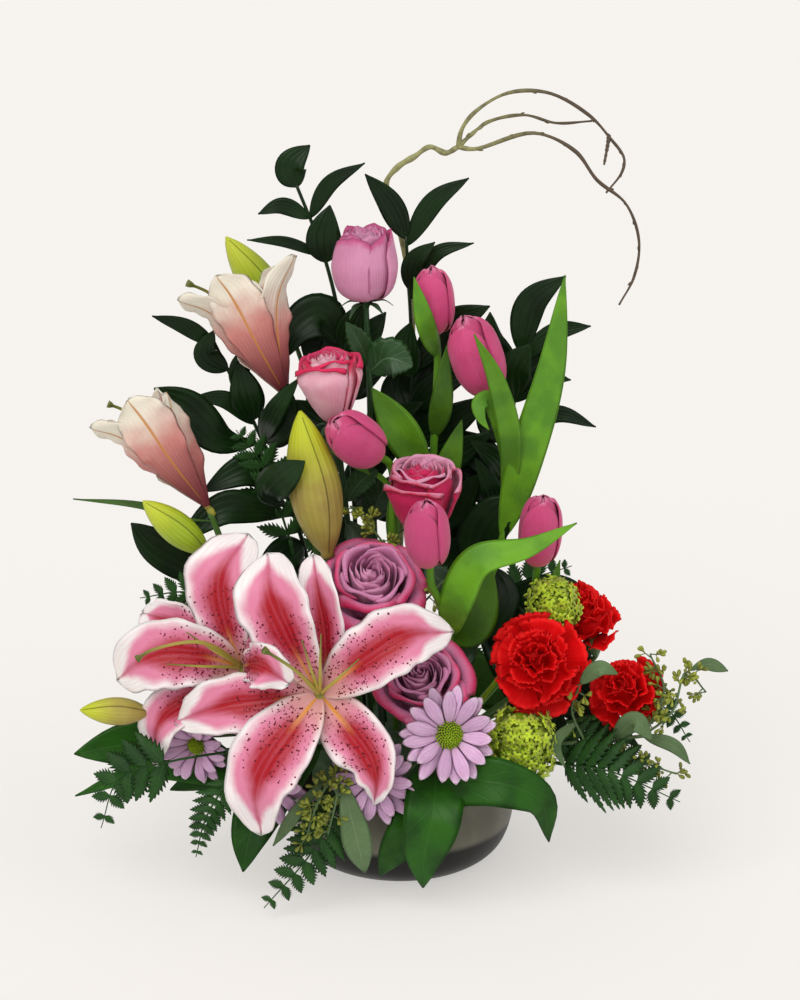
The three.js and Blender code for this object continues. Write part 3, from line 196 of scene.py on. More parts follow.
class Polar:
    """Polar coordinates about an axis from a base to a tip."""

    def __init__(self, base: Point, tip: Point, turn: float = 0.0) -> None:
        """Sets up the axis; turn is added to each angle."""
        axis = unit(tip - base)
        hint = at(0, 0, 1) if abs(axis[0]) > 0.9 else at(1, 0, 0)
        self.base, self.axis, self.turn = base, axis, turn
        self.across = unit(hint - axis * float(hint @ axis))
        self.other = np.cross(axis, self.across)
        self.height = float(np.linalg.norm(tip - base))

    def __call__(self, radius: np.ndarray, angle: np.ndarray, height: np.ndarray) -> np.ndarray:
        """Points for numbers or arrays of radius, angle and height.

        Args:
            radius: Distance from the axis.
            angle: In radians.
            height: Distance along the axis from the base.

        Returns:
            The points.
        """
        radius, angle, height = np.broadcast_arrays(radius, angle + self.turn, height)
        x, y = radius * np.cos(angle), radius * np.sin(angle)
        spoke = self.base + x[..., None] * self.across + y[..., None] * self.other
        return spoke + height[..., None] * self.axis

    def spine(self, heights: np.ndarray) -> np.ndarray:
        """Points on the axis."""
        return self.base + np.asarray(heights)[:, None] * self.axis


# ---- meshes


def quads(index: np.ndarray) -> np.ndarray:
    """The quads between the rows and columns of a grid of corner numbers."""
    corners = [index[:-1, :-1], index[:-1, 1:], index[1:, 1:], index[1:, :-1]]
    return np.stack(corners, axis=2).reshape(-1, 4)


def added(name: str, data: Optional[bpy.types.ID]) -> bpy.types.Object:
    """A new object of the scene."""
    thing = bpy.data.objects.new(name, data)
    bpy.context.scene.collection.objects.link(thing)
    return thing


class Shape:
    """Vertices and faces of one piece, in millimetres, with a UV, a tone and a side per vertex."""

    def __init__(self) -> None:
        """Starts empty."""
        self.patches: list[tuple[np.ndarray, ...]] = []
        self.faces: list[np.ndarray] = []
        self.count = 0

    def add(
        self, verts: np.ndarray, faces: np.ndarray, uv: np.ndarray, tone: float, side: np.ndarray
    ) -> None:
        """Adds a patch.

        Args:
            verts: Points, one row each.
            faces: Quads of corner numbers; a triangle repeats its last corner.
            uv: A UV for each vertex.
            tone: How light the patch is, about 0 for normal.
            side: For each vertex, 0 on the upper face and 1 on the lower one.
        """
        self.patches.append((verts, uv, np.full(len(verts), tone, dtype=float), side))
        self.faces.append(faces + self.count)
        self.count += len(verts)

    def plate(self, grid: np.ndarray, thickness: float, tone: float = 0.0, lip: float = 1.0) -> None:
        """Adds a thin closed plate on a grid of points, sharp along its border.

        Args:
            grid: Points by row, from root to tip, and by column, across.
            thickness: Millimetres at its middle.
            tone: How light the plate is.
            lip: How much of a finish's edge the plate shows: below 1, less of it.
        """
        m, n = grid.shape[:2]
        normal = np.cross(np.gradient(grid, axis=1), np.gradient(grid, axis=0))
        normal /= np.maximum(np.linalg.norm(normal, axis=2, keepdims=True), 1e-9)
        inner = np.zeros((m, n), bool)
        inner[1:-1, 1:-1] = True
        offset = normal * (thickness / 2) * inner[..., None]
        u, v = np.meshgrid(0.5 + lip * np.linspace(-0.5, 0.5, n), np.linspace(0, lip, m))
        uv = np.stack([u, v], axis=2)
        top = np.arange(m * n).reshape(m, n)
        under = top.copy()
        under[inner] = m * n + np.arange(int(inner.sum()))
        self.add(
            np.concatenate([(grid + offset).reshape(-1, 3), (grid - offset)[inner]]),
            np.concatenate([quads(top), quads(under)[:, ::-1]]),
            np.concatenate([uv.reshape(-1, 2), uv[inner]]),
            tone,
            np.concatenate([np.where(inner, 0.0, 0.5).ravel(), np.ones(int(inner.sum()))]),
        )

    def loft(self, rings: np.ndarray, ends: np.ndarray, tone: float = 0.0) -> None:
        """Adds a closed solid on rings of points.

        Args:
            rings: Points by ring and by place round it.
            ends: The middles of the first and the last cap.
            tone: How light it is.
        """
        count, sides = rings.shape[:2]
        index = np.arange(count * sides).reshape(count, sides)
        index = np.concatenate([index, index[:, :1]], axis=1)
        low, high = np.full(sides, count * sides), np.full(sides, count * sides + 1)
        start = np.stack([index[0, 1:], index[0, :-1], low, low], axis=1)
        end = np.stack([index[-1, :-1], index[-1, 1:], high, high], axis=1)
        u, v = np.meshgrid(np.arange(sides) / sides, np.linspace(0, 1, count))
        uv = np.concatenate([np.stack([u, v], axis=2).reshape(-1, 2), [[0.5, 0.0], [0.5, 1.0]]])
        verts = np.concatenate([rings.reshape(-1, 3), ends])
        self.add(verts, np.concatenate([quads(index), start, end]), uv, tone, np.zeros(len(verts)))

    def tube(self, points: np.ndarray, radii: np.ndarray, sides: int = 8, tone: float = 0.0) -> None:
        """Adds a closed round solid along a row of points.

        Args:
            points: Its middle line.
            radii: A radius for each point.
            sides: Number of sides.
            tone: How light it is.
        """
        points = np.asarray(points, dtype=float)
        tangents = np.gradient(points, axis=0)
        tangents /= np.maximum(np.linalg.norm(tangents, axis=1, keepdims=True), 1e-9)
        side = np.cross(at(0, 1, 0), tangents[0])
        if np.linalg.norm(side) < 0.2:
            side = np.cross(at(1, 0, 0), tangents[0])
        angles = np.arange(sides)[:, None] * 2 * math.pi / sides
        rings = []
        for point, radius, t in zip(points, radii, tangents):
            side = unit(side - t * float(side @ t))
            rings.append(point + radius * (np.cos(angles) * side + np.sin(angles) * np.cross(t, side)))
        self.loft(np.array(rings), points[[0, -1]], tone)

    def mesh(self, name: str) -> bpy.types.Mesh:
        """Makes a smooth Blender mesh in metres, with its UV map and its tone and side attributes.

        Args:
            name: Name of the mesh.

        Returns:
            The mesh.
        """
        verts, uvs, tones, sides = (np.concatenate(column) for column in zip(*self.patches))
        faces = [tuple(dict.fromkeys(face)) for block in self.faces for face in block.tolist()]
        mesh = bpy.data.meshes.new(name)
        mesh.from_pydata((verts * TO_METRES).tolist(), [], [face for face in faces if len(face) > 2])
        loops = np.empty(len(mesh.loops), dtype=np.int32)
        mesh.loops.foreach_get("vertex_index", loops)
        layer = mesh.uv_layers.new(name="UVMap")
        layer.uv.foreach_set("vector", uvs[loops].astype(np.float32).reshape(-1))
        for label, values in (("tone", tones), ("side", sides)):
            attribute = mesh.attributes.new(label, "FLOAT", "POINT")
            attribute.data.foreach_set("value", values.astype(np.float32))
        mesh.shade_smooth()
        mesh.validate()
        return mesh


# ---- node trees


class Value:
    """A value in a node tree; arithmetic on it adds math nodes."""

    def __init__(self, canvas: "Canvas", socket: bpy.types.NodeSocket) -> None:
        """Keeps the socket that gives the value."""
        self.canvas, self.socket = canvas, socket

    def __add__(self, other: object) -> "Value":
        """The sum."""
        return self.canvas.math("ADD", self, other)

    def __sub__(self, other: object) -> "Value":
        """The difference."""
        return self.canvas.math("SUBTRACT", self, other)

    def __rsub__(self, other: object) -> "Value":
        """The difference from a number."""
        return self.canvas.math("SUBTRACT", other, self)

    def __mul__(self, other: object) -> "Value":
        """The product."""
        return self.canvas.math("MULTIPLY", self, other)

    def __pow__(self, other: float) -> "Value":
        """The power."""
        return self.canvas.math("POWER", self, other)

    def __abs__(self) -> "Value":
        """The size without its sign."""
        return self.canvas.math("ABSOLUTE", self)

    __radd__, __rmul__ = __add__, __mul__


class Canvas:
    """A node tree with short ways to add and join nodes."""

    def __init__(self, tree: bpy.types.NodeTree) -> None:
        """Wraps a tree."""
        self.tree = tree

    def set(self, socket: bpy.types.NodeSocket, value: object) -> None:
        """Joins a socket to a value, or sets its plain value."""
        if isinstance(value, Value):
            self.tree.links.new(value.socket, socket)
        else:
            socket.default_value = (*value, 1.0) if socket.type == "RGBA" else value

    def add(self, kind: str, inputs: Inputs = NOTHING, **settings: object) -> bpy.types.Node:
        """Adds a node.

        Args:
            kind: The node's type.
            inputs: Values by input name or number.
            settings: The node's own settings.

        Returns:
            The node.
        """
        node = self.tree.nodes.new(kind)
        for key, value in settings.items():
            setattr(node, key, value)
        for key, value in inputs.items():
            self.set(node.inputs[key], value)
        return node

    def get(self, kind: str, inputs: Inputs = NOTHING, out: object = 0, **settings: object) -> Value:
        """The value of one output of a new node."""
        return Value(self, self.add(kind, inputs, **settings).outputs[out])

    def math(self, operation: str, *terms: object) -> Value:
        """The result of a math node."""
        return self.get("ShaderNodeMath", dict(enumerate(terms)), operation=operation)

    def ramp(self, value: Value, low: object, high: object) -> Value:
        """A value turned to 0 at low and 1 at high, smooth and held outside them."""
        limits = {0: value, 1: low, 2: high}
        return self.get("ShaderNodeMapRange", limits, interpolation_type="SMOOTHSTEP")

    def fall(self, value: Value, low: float, high: float) -> Value:
        """A value turned to 1 at low and 0 at high."""
        return 1 - self.ramp(value, low, high)

    def mix(self, share: object, a: object, b: object) -> Value:
        """Two colours mixed."""
        return self.get("ShaderNodeMix", {0: share, 6: a, 7: b}, 2, data_type="RGBA")

    def noise(self, scale: object, detail: float) -> Value:
        """Noise in the object's space."""
        inputs = {"Vector": self.space, "Scale": scale, "Detail": detail}
        return self.get("ShaderNodeTexNoise", inputs, "Fac")

    def cells(self, scale: float, evenness: float = 1.0) -> Value:
        """Distance from the middles of random cells in the object's space."""
        inputs = {"Vector": self.space, "Scale": scale, "Randomness": evenness}
        return self.get("ShaderNodeTexVoronoi", inputs, "Distance")

    def split(self, vector: Value) -> list[Value]:
        """The three numbers of a vector."""
        return [Value(self, out) for out in self.add("ShaderNodeSeparateXYZ", {0: vector}).outputs]

    def group(self, tree: bpy.types.NodeTree, **inputs: object) -> dict[str, Value]:
        """The outputs of a node group by name.

        Args:
            tree: The group's tree.
            inputs: Its inputs by name.

        Returns:
            The outputs.
        """
        node = self.add("ShaderNodeGroup", node_tree=tree)
        for key, value in inputs.items():
            self.set(node.inputs[key], value)
        return {out.name: Value(self, out) for out in node.outputs}

    @cached_property
    def space(self) -> Value:
        """Object coordinates."""
        return self.get("ShaderNodeTexCoord", out="Object")

    @cached_property
    def uv(self) -> list[Value]:
        """Across and along a petal or leaf, each from 0 to 1."""
        return self.split(self.get("ShaderNodeUVMap"))[:2]

    @cached_property
    def away(self) -> Value:
        """Distance from the rib, 0 on it and 1 at the edge."""
        return abs(self.uv[0] * 2 - 1)


class Group(Canvas):
    """A new node group with named sockets."""

    def __init__(
        self, name: str, inputs: dict[str, str], outputs: dict[str, str], kind: str = "Shader"
    ) -> None:
        """Starts the group.

        Args:
            name: Its name.
            inputs: Socket types by input name.
            outputs: Socket types by output name.
            kind: The kind of its tree.
        """
        super().__init__(bpy.data.node_groups.new(name, f"{kind}NodeTree"))
        for way, sockets in (("INPUT", inputs), ("OUTPUT", outputs)):
            for label, socket in sockets.items():
                self.tree.interface.new_socket(label, in_out=way, socket_type=f"NodeSocket{socket}")
        self.given = {s.name: Value(self, s) for s in self.add("NodeGroupInput").outputs if s.name}
        self.leave = self.add("NodeGroupOutput")

    def give(self, **values: Value) -> bpy.types.NodeTree:
        """Joins values to the group's outputs.

        Args:
            values: The value of each output.

        Returns:
            The group's tree.
        """
        for name, value in values.items():
            self.set(self.leave.inputs[name], value)
        return self.tree


@cache
def mottle() -> bpy.types.NodeTree:
    """Soft uneven colour: a colour shifted towards a deeper one, and its mask."""
    inputs = {"Colour": "Color", "Deep": "Color", "Scale": "Float", "Amount": "Float"}
    group = Group("uneven_colour", inputs, {"Colour": "Color", "Mask": "Float"})
    given = group.given
    mask = group.ramp(group.noise(given["Scale"], 4.0), 0.35, 0.68)
    return group.give(Colour=group.mix(mask * given["Amount"], given["Colour"], given["Deep"]), Mask=mask)


@cache
def ribs() -> bpy.types.NodeTree:
    """Fine uneven lines that run the length of a petal or blade."""
    group = Group("ribs_along", {"Count": "Float", "Waver": "Float"}, {"Line": "Float"})
    across, along = group.uv
    stretch = group.get("ShaderNodeCombineXYZ", {0: across * 9.0, 1: along * 2.2})
    noise = group.get("ShaderNodeTexNoise", {"Vector": stretch, "Scale": 1.6, "Detail": 2.0}, "Fac")
    spread = across * group.given["Count"] + (noise - 0.5) * group.given["Waver"]
    wave = group.math("SINE", spread * (2 * math.pi))
    return group.give(Line=(wave * 0.5 + 0.5) ** 2.0)


@cache
def feather() -> bpy.types.NodeTree:
    """A leaf's midrib and the side veins that slant from it to the edge."""
    inputs = {"Pairs": "Float", "Slant": "Float", "Width": "Float"}
    group = Group("feathered_veins", inputs, {"Vein": "Float", "Rib": "Float"})
    given, away = group.given, group.away
    along = (group.uv[1] - away**0.8 * given["Slant"]) * given["Pairs"]
    near = abs(group.math("FRACT", along) * 2 - 1)
    line = group.get("ShaderNodeMapRange", {0: near, 1: 0.0, 2: given["Width"], 3: 1.0, 4: 0.0})
    return group.give(Vein=line * group.fall(away, 0.75, 1.0), Rib=group.fall(away, 0.015, 0.075))


@cache
def rim() -> bpy.types.NodeTree:
    """A mask that grows towards a petal's free edge, and uneven as it does."""
    group = Group("free_edge", {"Start": "Float", "Sides": "Float", "Waver": "Float"}, {"Mask": "Float"})
    shift = (group.noise(120.0, 2.0) - 0.5) * group.given["Waver"]
    far = group.math("MAXIMUM", group.uv[1], group.away * group.given["Sides"]) + shift
    return group.give(Mask=group.ramp(far, group.given["Start"], 1.0))


class Paint(Canvas):
    """The nodes of a new material."""

    def __init__(self, name: str) -> None:
        """Starts the material."""
        self.material = bpy.data.materials.new(name)
        self.material.use_nodes = True
        super().__init__(self.material.node_tree)
        self.shader = next(n for n in self.tree.nodes if n.type == "BSDF_PRINCIPLED")

    def attribute(self, name: str) -> Value:
        """An attribute of the surface."""
        return self.get("ShaderNodeAttribute", out="Fac", attribute_name=name)

    @cached_property
    def under(self) -> Value:
        """0 on the upper side of a petal or leaf and 1 on the lower."""
        return self.ramp(self.attribute("side"), 0.4, 0.6)

    def done(
        self, colour: Value, depth: float, roughness: object, gloss: float,
        relief: tuple[Value, float, float], glow: float = 0.0, radius: Colour = (0.001, 0.002, 0.0005),
        **inputs: float,
    ) -> bpy.types.Material:
        """Joins a finish to the shader.

        Args:
            colour: Its colour.
            depth: How much lighter or darker a surface's tone makes the colour.
            roughness: Its roughness.
            gloss: Its specular level.
            relief: The surface's height, with the strength and distance of the bump.
            glow: How much light passes under the surface.
            radius: How far that light goes.
            inputs: The shader's other inputs, with _ for a space.

        Returns:
            The material.
        """
        if depth:
            value = self.attribute("tone") * depth + 1.0
            colour = self.get("ShaderNodeHueSaturation", {"Color": colour, "Value": value})
        height, strength, distance = relief
        bump = self.get("ShaderNodeBump", {"Height": height, "Strength": strength, "Distance": distance})
        values = {
            "Base Color": colour, "Roughness": roughness, "Specular IOR Level": gloss, "Normal": bump,
            "Subsurface Weight": glow, "Subsurface Radius": radius,
        }
        values |= {key.replace("_", " "): value for key, value in inputs.items()}
        for key, value in values.items():
            self.set(self.shader.inputs[key], value)
        return self.material


# ---- finishes


@dataclass(frozen=True)
class PetalFinish:
    """A velvety petal: its body, its free edge and its heart."""

    name: str
    body: Colour
    outside: Colour
    edge: Colour
    heart: Colour
    deep: Colour
    edge_start: float = 0.72
    edge_sides: float = 0.93
    heart_reach: float = 0.4
    lines: float = 22.0
    line_depth: float = 0.1
    roughness: float = 0.55
    sheen: float = 0.06
    gloss: float = 0.22
    glow: float = 0.12
    height: float = 0.0004

    def make(self) -> bpy.types.Material:
        """Builds the material.

        Returns:
            The material.
        """
        paint = Paint(self.name)
        skin = paint.mix(paint.under, self.body, self.outside)
        colour = paint.group(mottle(), Colour=skin, Deep=self.deep, Scale=60.0, Amount=0.3)["Colour"]
        mask = paint.group(rim(), Start=self.edge_start, Sides=self.edge_sides, Waver=0.16)["Mask"]
        line = paint.group(ribs(), Count=self.lines, Waver=1.4)["Line"]
        colour = paint.mix(mask, colour, self.edge)
        # Towards its root the petal turns to its heart colour: partly its own colour, partly painted shade
        # deep inside the bloom.
        colour = paint.mix(paint.fall(paint.uv[1], 0.0, self.heart_reach), colour, self.heart)
        colour = paint.mix(line * self.line_depth, colour, self.deep)
        return paint.done(
            colour, 0.16, self.roughness, self.gloss, (line, 0.35, self.height), self.glow,
            (0.004, 0.0015, 0.0015), Sheen_Weight=self.sheen,
        )


@dataclass(frozen=True)
class LilyFinish:
    """A stargazer tepal: white edge, deep red band, freckles and a golden throat."""

    name: str
    edge: Colour = (0.84, 0.8, 0.79)
    blush: Colour = (0.68, 0.21, 0.34)
    band: Colour = (0.36, 0.0, 0.008)
    throat: Colour = (0.66, 0.36, 0.3)
    streak: Colour = (0.72, 0.3, 0.02)
    outside: Colour = (0.8, 0.42, 0.5)
    rib: Colour = (0.5, 0.55, 0.25)
    freckle: Colour = (0.3, 0.0, 0.02)
    freckles: float = 1.0
    band_depth: float = 1.0

    def make(self) -> bpy.types.Material:
        """Builds the material.

        Returns:
            The material.
        """
        paint = Paint(self.name)
        ramp, fall, mix, away, along = paint.ramp, paint.fall, paint.mix, paint.away, paint.uv[1]
        line = paint.group(ribs(), Count=11.0, Waver=0.6)["Line"]
        waver = (paint.noise(70.0, 3.0) - 0.5) * 0.3
        spread = away + waver
        inner = mix(fall(spread + ramp(along, 0.68, 1.0) * 0.8, 0.62, 1.0), self.edge, self.blush)
        narrow = spread + ramp(along, 0.5, 0.95) * 0.5 - ramp(along, 0.1, 0.45) * 0.14
        band = fall(narrow, 0.06, 0.52) ** 0.7 * ramp(along, 0.06, 0.3)
        inner = mix(band * self.band_depth, inner, self.band)
        dots = fall(paint.cells(360.0, 0.9), 0.12, 0.24) * fall(along, 0.5, 0.72) * fall(away, 0.66, 0.86)
        dots = dots * ramp(along, 0.1, 0.2) * self.freckles
        inner = mix(dots * 0.5, inner, self.freckle)
        inner = mix(fall(along, 0.06, 0.3) * 0.8, inner, self.throat)
        middle = fall(away, 0.02, 0.16)
        inner = mix(fall(along, 0.1, 0.36) * middle, inner, self.streak)
        outer = mix(ramp(along, 0.0, 0.55), self.band, self.outside)
        outer = mix(ramp(along + waver, 0.38, 0.86), outer, self.edge)
        outer = mix(fall(away, 0.025, 0.07) * 0.85, outer, self.rib)
        colour = mix(line * 0.12, mix(paint.under, inner, outer), self.blush)
        height = dots * 1.6 - middle * 1.2 + line * 0.25
        return paint.done(colour, 0.06, 0.42, 0.3, (height, 0.6, 0.0006), 0.08, (0.002, 0.001, 0.001))


@dataclass(frozen=True)
class LeafFinish:
    """A leaf or a green stem: its upper and lower side, its veins and its gloss."""

    name: str
    upper: Colour
    deep: Colour
    vein: Colour
    lower: Colour
    along: float = 0.0
    vein_share: float = 0.3
    roughness: float = 0.4
    gloss: float = 0.3
    pairs: float = 9.0
    slant: float = 0.2
    relief: float = 0.0004
    tip: Optional[Colour] = None

    def make(self) -> bpy.types.Material:
        """Builds the material.

        Returns:
            The material.
        """
        paint = Paint(self.name)
        base = paint.group(mottle(), Colour=self.upper, Deep=self.deep, Scale=45.0, Amount=0.75)
        skin = base["Colour"]
        if self.tip:
            skin = paint.mix(paint.ramp(paint.uv[1], 0.4, 0.95), skin, self.tip)
        if self.along:
            line = paint.group(ribs(), Count=self.along, Waver=0.5)["Line"]
            height = line
        else:
            veins = paint.group(feather(), Pairs=self.pairs, Slant=self.slant, Width=0.16)
            line = paint.math("MAXIMUM", veins["Vein"], veins["Rib"] * 1.6)
            height = line * -1.0
        line = line * self.vein_share
        upper, lower = paint.mix(line, skin, self.vein), paint.mix(line * 0.6, self.lower, self.vein)
        relief = (height + base["Mask"] * 0.3, 0.5, self.relief)
        roughness = base["Mask"] * 0.12 + self.roughness
        return paint.done(paint.mix(paint.under, upper, lower), 0.22, roughness, self.gloss, relief, 0.05)


@dataclass(frozen=True)
class BarkFinish:
    """Thin bark that runs from one colour to another up the twig, with fine wrinkles."""

    name: str
    low: Colour
    high: Colour
    fade_from: float
    fade_to: float

    def make(self) -> bpy.types.Material:
        """Builds the material.

        Returns:
            The material; its colour follows Object coordinates across the twig.
        """
        paint = Paint(self.name)
        fade = paint.ramp(paint.split(paint.space)[0], self.fade_from, self.fade_to)
        colour = paint.mix(fade, self.low, self.high)
        uneven = paint.group(mottle(), Colour=colour, Deep=(0.05, 0.035, 0.02), Scale=160.0, Amount=0.6)
        return paint.done(uneven["Colour"], 0.2, 0.62, 0.5, (paint.noise(900.0, 3.0), 0.6, 0.0005))


@dataclass(frozen=True)
class GlazeFinish:
    """Satin black glaze with a painted reflection: olive grey painted on the upper wall, and faintly uneven
    colour and roughness.
    """

    name: str
    colour: Colour = (0.004, 0.004, 0.003)
    # Olive grey of the painted reflection on the upper wall.
    painted_reflection: Colour = (0.19, 0.18, 0.135)
    low: float = 0.028
    high: float = 0.034

    def make(self) -> bpy.types.Material:
        """Builds the material.

        Returns:
            The material.
        """
        paint = Paint(self.name)
        # Painted reflection: the wall turns from black to olive grey between the heights low and high.
        reflection_mask = paint.ramp(paint.split(paint.space)[2], self.low, self.high)
        skin = paint.mix(reflection_mask, self.colour, self.painted_reflection)
        uneven = paint.group(mottle(), Colour=skin, Deep=self.colour, Scale=14.0, Amount=0.5)
        roughness = uneven["Mask"] * 0.1 + 0.34
        return paint.done(uneven["Colour"], 0.0, roughness, 0.25, (paint.noise(400.0, 2.0), 0.12, 0.0002))


@dataclass(frozen=True)
class FoamFinish:
    """Wet floral foam: matt green with fine open pores."""

    name: str
    colour: Colour = (0.06, 0.12, 0.05)
    pore: Colour = (0.02, 0.05, 0.02)

    def make(self) -> bpy.types.Material:
        """Builds the material.

        Returns:
            The material.
        """
        paint = Paint(self.name)
        uneven = paint.group(mottle(), Colour=self.colour, Deep=self.pore, Scale=60.0, Amount=0.6)
        return paint.done(uneven["Colour"], 0.0, 0.95, 0.5, (paint.cells(900.0), 0.8, 0.0008))


class Look(Enum):
    """The finishes of the arrangement's own parts."""

    GLAZE = GlazeFinish("black_glaze")
    FOAM = FoamFinish("wet_foam")
    ROSE_BLUSH = PetalFinish(
        "rose_blush", (0.66, 0.22, 0.4), (0.62, 0.27, 0.42), (0.5, 0.08, 0.22), (0.55, 0.17, 0.26),
        (0.48, 0.12, 0.27), 0.88, 0.95,
    )
    ROSE_RED_RIM = PetalFinish(
        "rose_red_rim", (0.62, 0.03, 0.12), (0.78, 0.44, 0.52), (0.62, 0.008, 0.07), (0.6, 0.2, 0.26),
        (0.6, 0.1, 0.22), 0.72, 0.88,
    )
    ROSE_HOT = PetalFinish(
        "rose_hot_pink", (0.7, 0.34, 0.5), (0.56, 0.012, 0.09), (0.5, 0.004, 0.04), (0.66, 0.12, 0.26),
        (0.5, 0.02, 0.1), 0.78, 0.92,
    )
    ROSE_LAVENDER = PetalFinish(
        "rose_lavender", (0.66, 0.28, 0.48), (0.72, 0.38, 0.56), (0.74, 0.012, 0.12), (0.5, 0.15, 0.3),
        (0.52, 0.14, 0.32), 0.66, 0.88, glow=0.2,
    )
    TULIP = PetalFinish(
        "tulip_pink", (0.62, 0.08, 0.22), (0.57, 0.07, 0.2), (0.74, 0.24, 0.4), (0.6, 0.16, 0.14),
        (0.4, 0.02, 0.1), 0.88, 0.9, lines=30.0, line_depth=0.35, roughness=0.4, sheen=0.1,
    )
    CARNATION = PetalFinish(
        "carnation_red", (0.74, 0.004, 0.006), (0.6, 0.002, 0.003), (0.86, 0.012, 0.012), (0.4, 0.0, 0.001),
        (0.5, 0.0, 0.002), 0.84, 0.98, 0.5, lines=12.0, line_depth=0.15, roughness=0.6, sheen=0.0,
        gloss=0.12,
    )
    DAISY = PetalFinish(
        "daisy_lavender", (0.66, 0.43, 0.62), (0.58, 0.35, 0.54), (0.76, 0.6, 0.74), (0.5, 0.3, 0.42),
        (0.44, 0.2, 0.42), 0.8, 0.9, 0.3, lines=5.0, line_depth=0.3, height=0.0006,
    )
    VIBURNUM = PetalFinish(
        "viburnum_floret", (0.54, 0.7, 0.035), (0.4, 0.54, 0.03), (0.7, 0.82, 0.12), (0.24, 0.36, 0.01),
        (0.34, 0.47, 0.02), 0.7, 0.9, lines=3.0, line_depth=0.2, roughness=0.5, sheen=0.1,
    )
    DAISY_DISC = LeafFinish(
        "daisy_lime_disc", (0.24, 0.36, 0.004), (0.13, 0.24, 0.003), (0.36, 0.48, 0.02), (0.12, 0.2, 0.01),
        2.0, roughness=0.6,
    )
    LILY = LilyFinish("stargazer")
    LILY_TRUMPET = LilyFinish(
        "stargazer_trumpet", (0.76, 0.72, 0.6), (0.6, 0.32, 0.3), (0.17, 0.016, 0.03), (0.6, 0.5, 0.25),
        outside=(0.52, 0.18, 0.16), rib=(0.5, 0.2, 0.02), freckles=0.0, band_depth=0.4,
    )
    LILY_SPOT = LeafFinish(
        "lily_spots", (0.16, 0.0, 0.01), (0.08, 0.0, 0.005), (0.2, 0.0, 0.02), (0.1, 0.0, 0.01), 1.0,
        roughness=0.5,
    )
    LILY_THREAD = LeafFinish(
        "lily_style_and_filaments", (0.36, 0.34, 0.05), (0.5, 0.32, 0.09), (0.45, 0.4, 0.1),
        (0.4, 0.4, 0.1), 2.0, roughness=0.35, tip=(0.1, 0.13, 0.02),
    )
    LILY_BUD = LeafFinish(
        "lily_bud", (0.36, 0.3, 0.06), (0.27, 0.17, 0.05), (0.5, 0.46, 0.12), (0.4, 0.4, 0.05), 22.0, 0.16,
        0.36, tip=(0.46, 0.52, 0.01),
    )
    LILY_BUD_GREEN = LeafFinish(
        "lily_bud_green", (0.3, 0.42, 0.012), (0.2, 0.3, 0.01), (0.5, 0.58, 0.1), (0.4, 0.4, 0.05), 22.0,
        0.2, 0.36, tip=(0.5, 0.56, 0.03),
    )
    LILY_GREEN = LeafFinish(
        "lily_stem_green", (0.05, 0.12, 0.018), (0.02, 0.06, 0.01), (0.14, 0.26, 0.05), (0.06, 0.13, 0.03),
        9.0,
    )
    STEM_GREEN = LeafFinish(
        "stem_green", (0.05, 0.13, 0.02), (0.025, 0.06, 0.012), (0.1, 0.2, 0.05), (0.06, 0.14, 0.04), 8.0
    )
    ROSE_GREEN = LeafFinish(
        "rose_leaf", (0.018, 0.06, 0.016), (0.008, 0.028, 0.007), (0.1, 0.17, 0.09), (0.05, 0.1, 0.03),
        roughness=0.3, pairs=8.0,
    )
    TULIP_GREEN = LeafFinish(
        "tulip_blade", (0.1, 0.27, 0.008), (0.04, 0.14, 0.008), (0.2, 0.38, 0.03), (0.17, 0.35, 0.02), 16.0,
        0.14, relief=0.0002,
    )
    RUSCUS = LeafFinish(
        "ruscus_leaf", (0.005, 0.022, 0.003), (0.001, 0.007, 0.001), (0.012, 0.04, 0.01),
        (0.01, 0.035, 0.006), 5.0, 0.2, 0.3, 0.18,
    )
    EUCALYPTUS = LeafFinish(
        "eucalyptus_leaf", (0.1, 0.17, 0.07), (0.06, 0.11, 0.04), (0.2, 0.26, 0.12), (0.13, 0.2, 0.1),
        roughness=0.5, pairs=16.0, slant=0.1,
    )
    EUCALYPTUS_SEED = LeafFinish(
        "eucalyptus_seed", (0.24, 0.28, 0.03), (0.12, 0.14, 0.02), (0.34, 0.38, 0.07), (0.2, 0.24, 0.05),
        3.0,
    )
    FERN = LeafFinish(
        "fern_leaflet", (0.018, 0.07, 0.011), (0.005, 0.026, 0.004), (0.035, 0.12, 0.02),
        (0.02, 0.07, 0.015), gloss=0.2, pairs=6.0, slant=0.3,
    )
    COLLAR = LeafFinish(
        "collar_leaf", (0.016, 0.09, 0.003), (0.004, 0.03, 0.002), (0.03, 0.12, 0.01), (0.04, 0.12, 0.01),
        vein_share=0.2, gloss=0.2, slant=0.24,
    )
    WILLOW = BarkFinish("willow_bark", (0.3, 0.3, 0.12), (0.085, 0.055, 0.03), 0.03, 0.12)


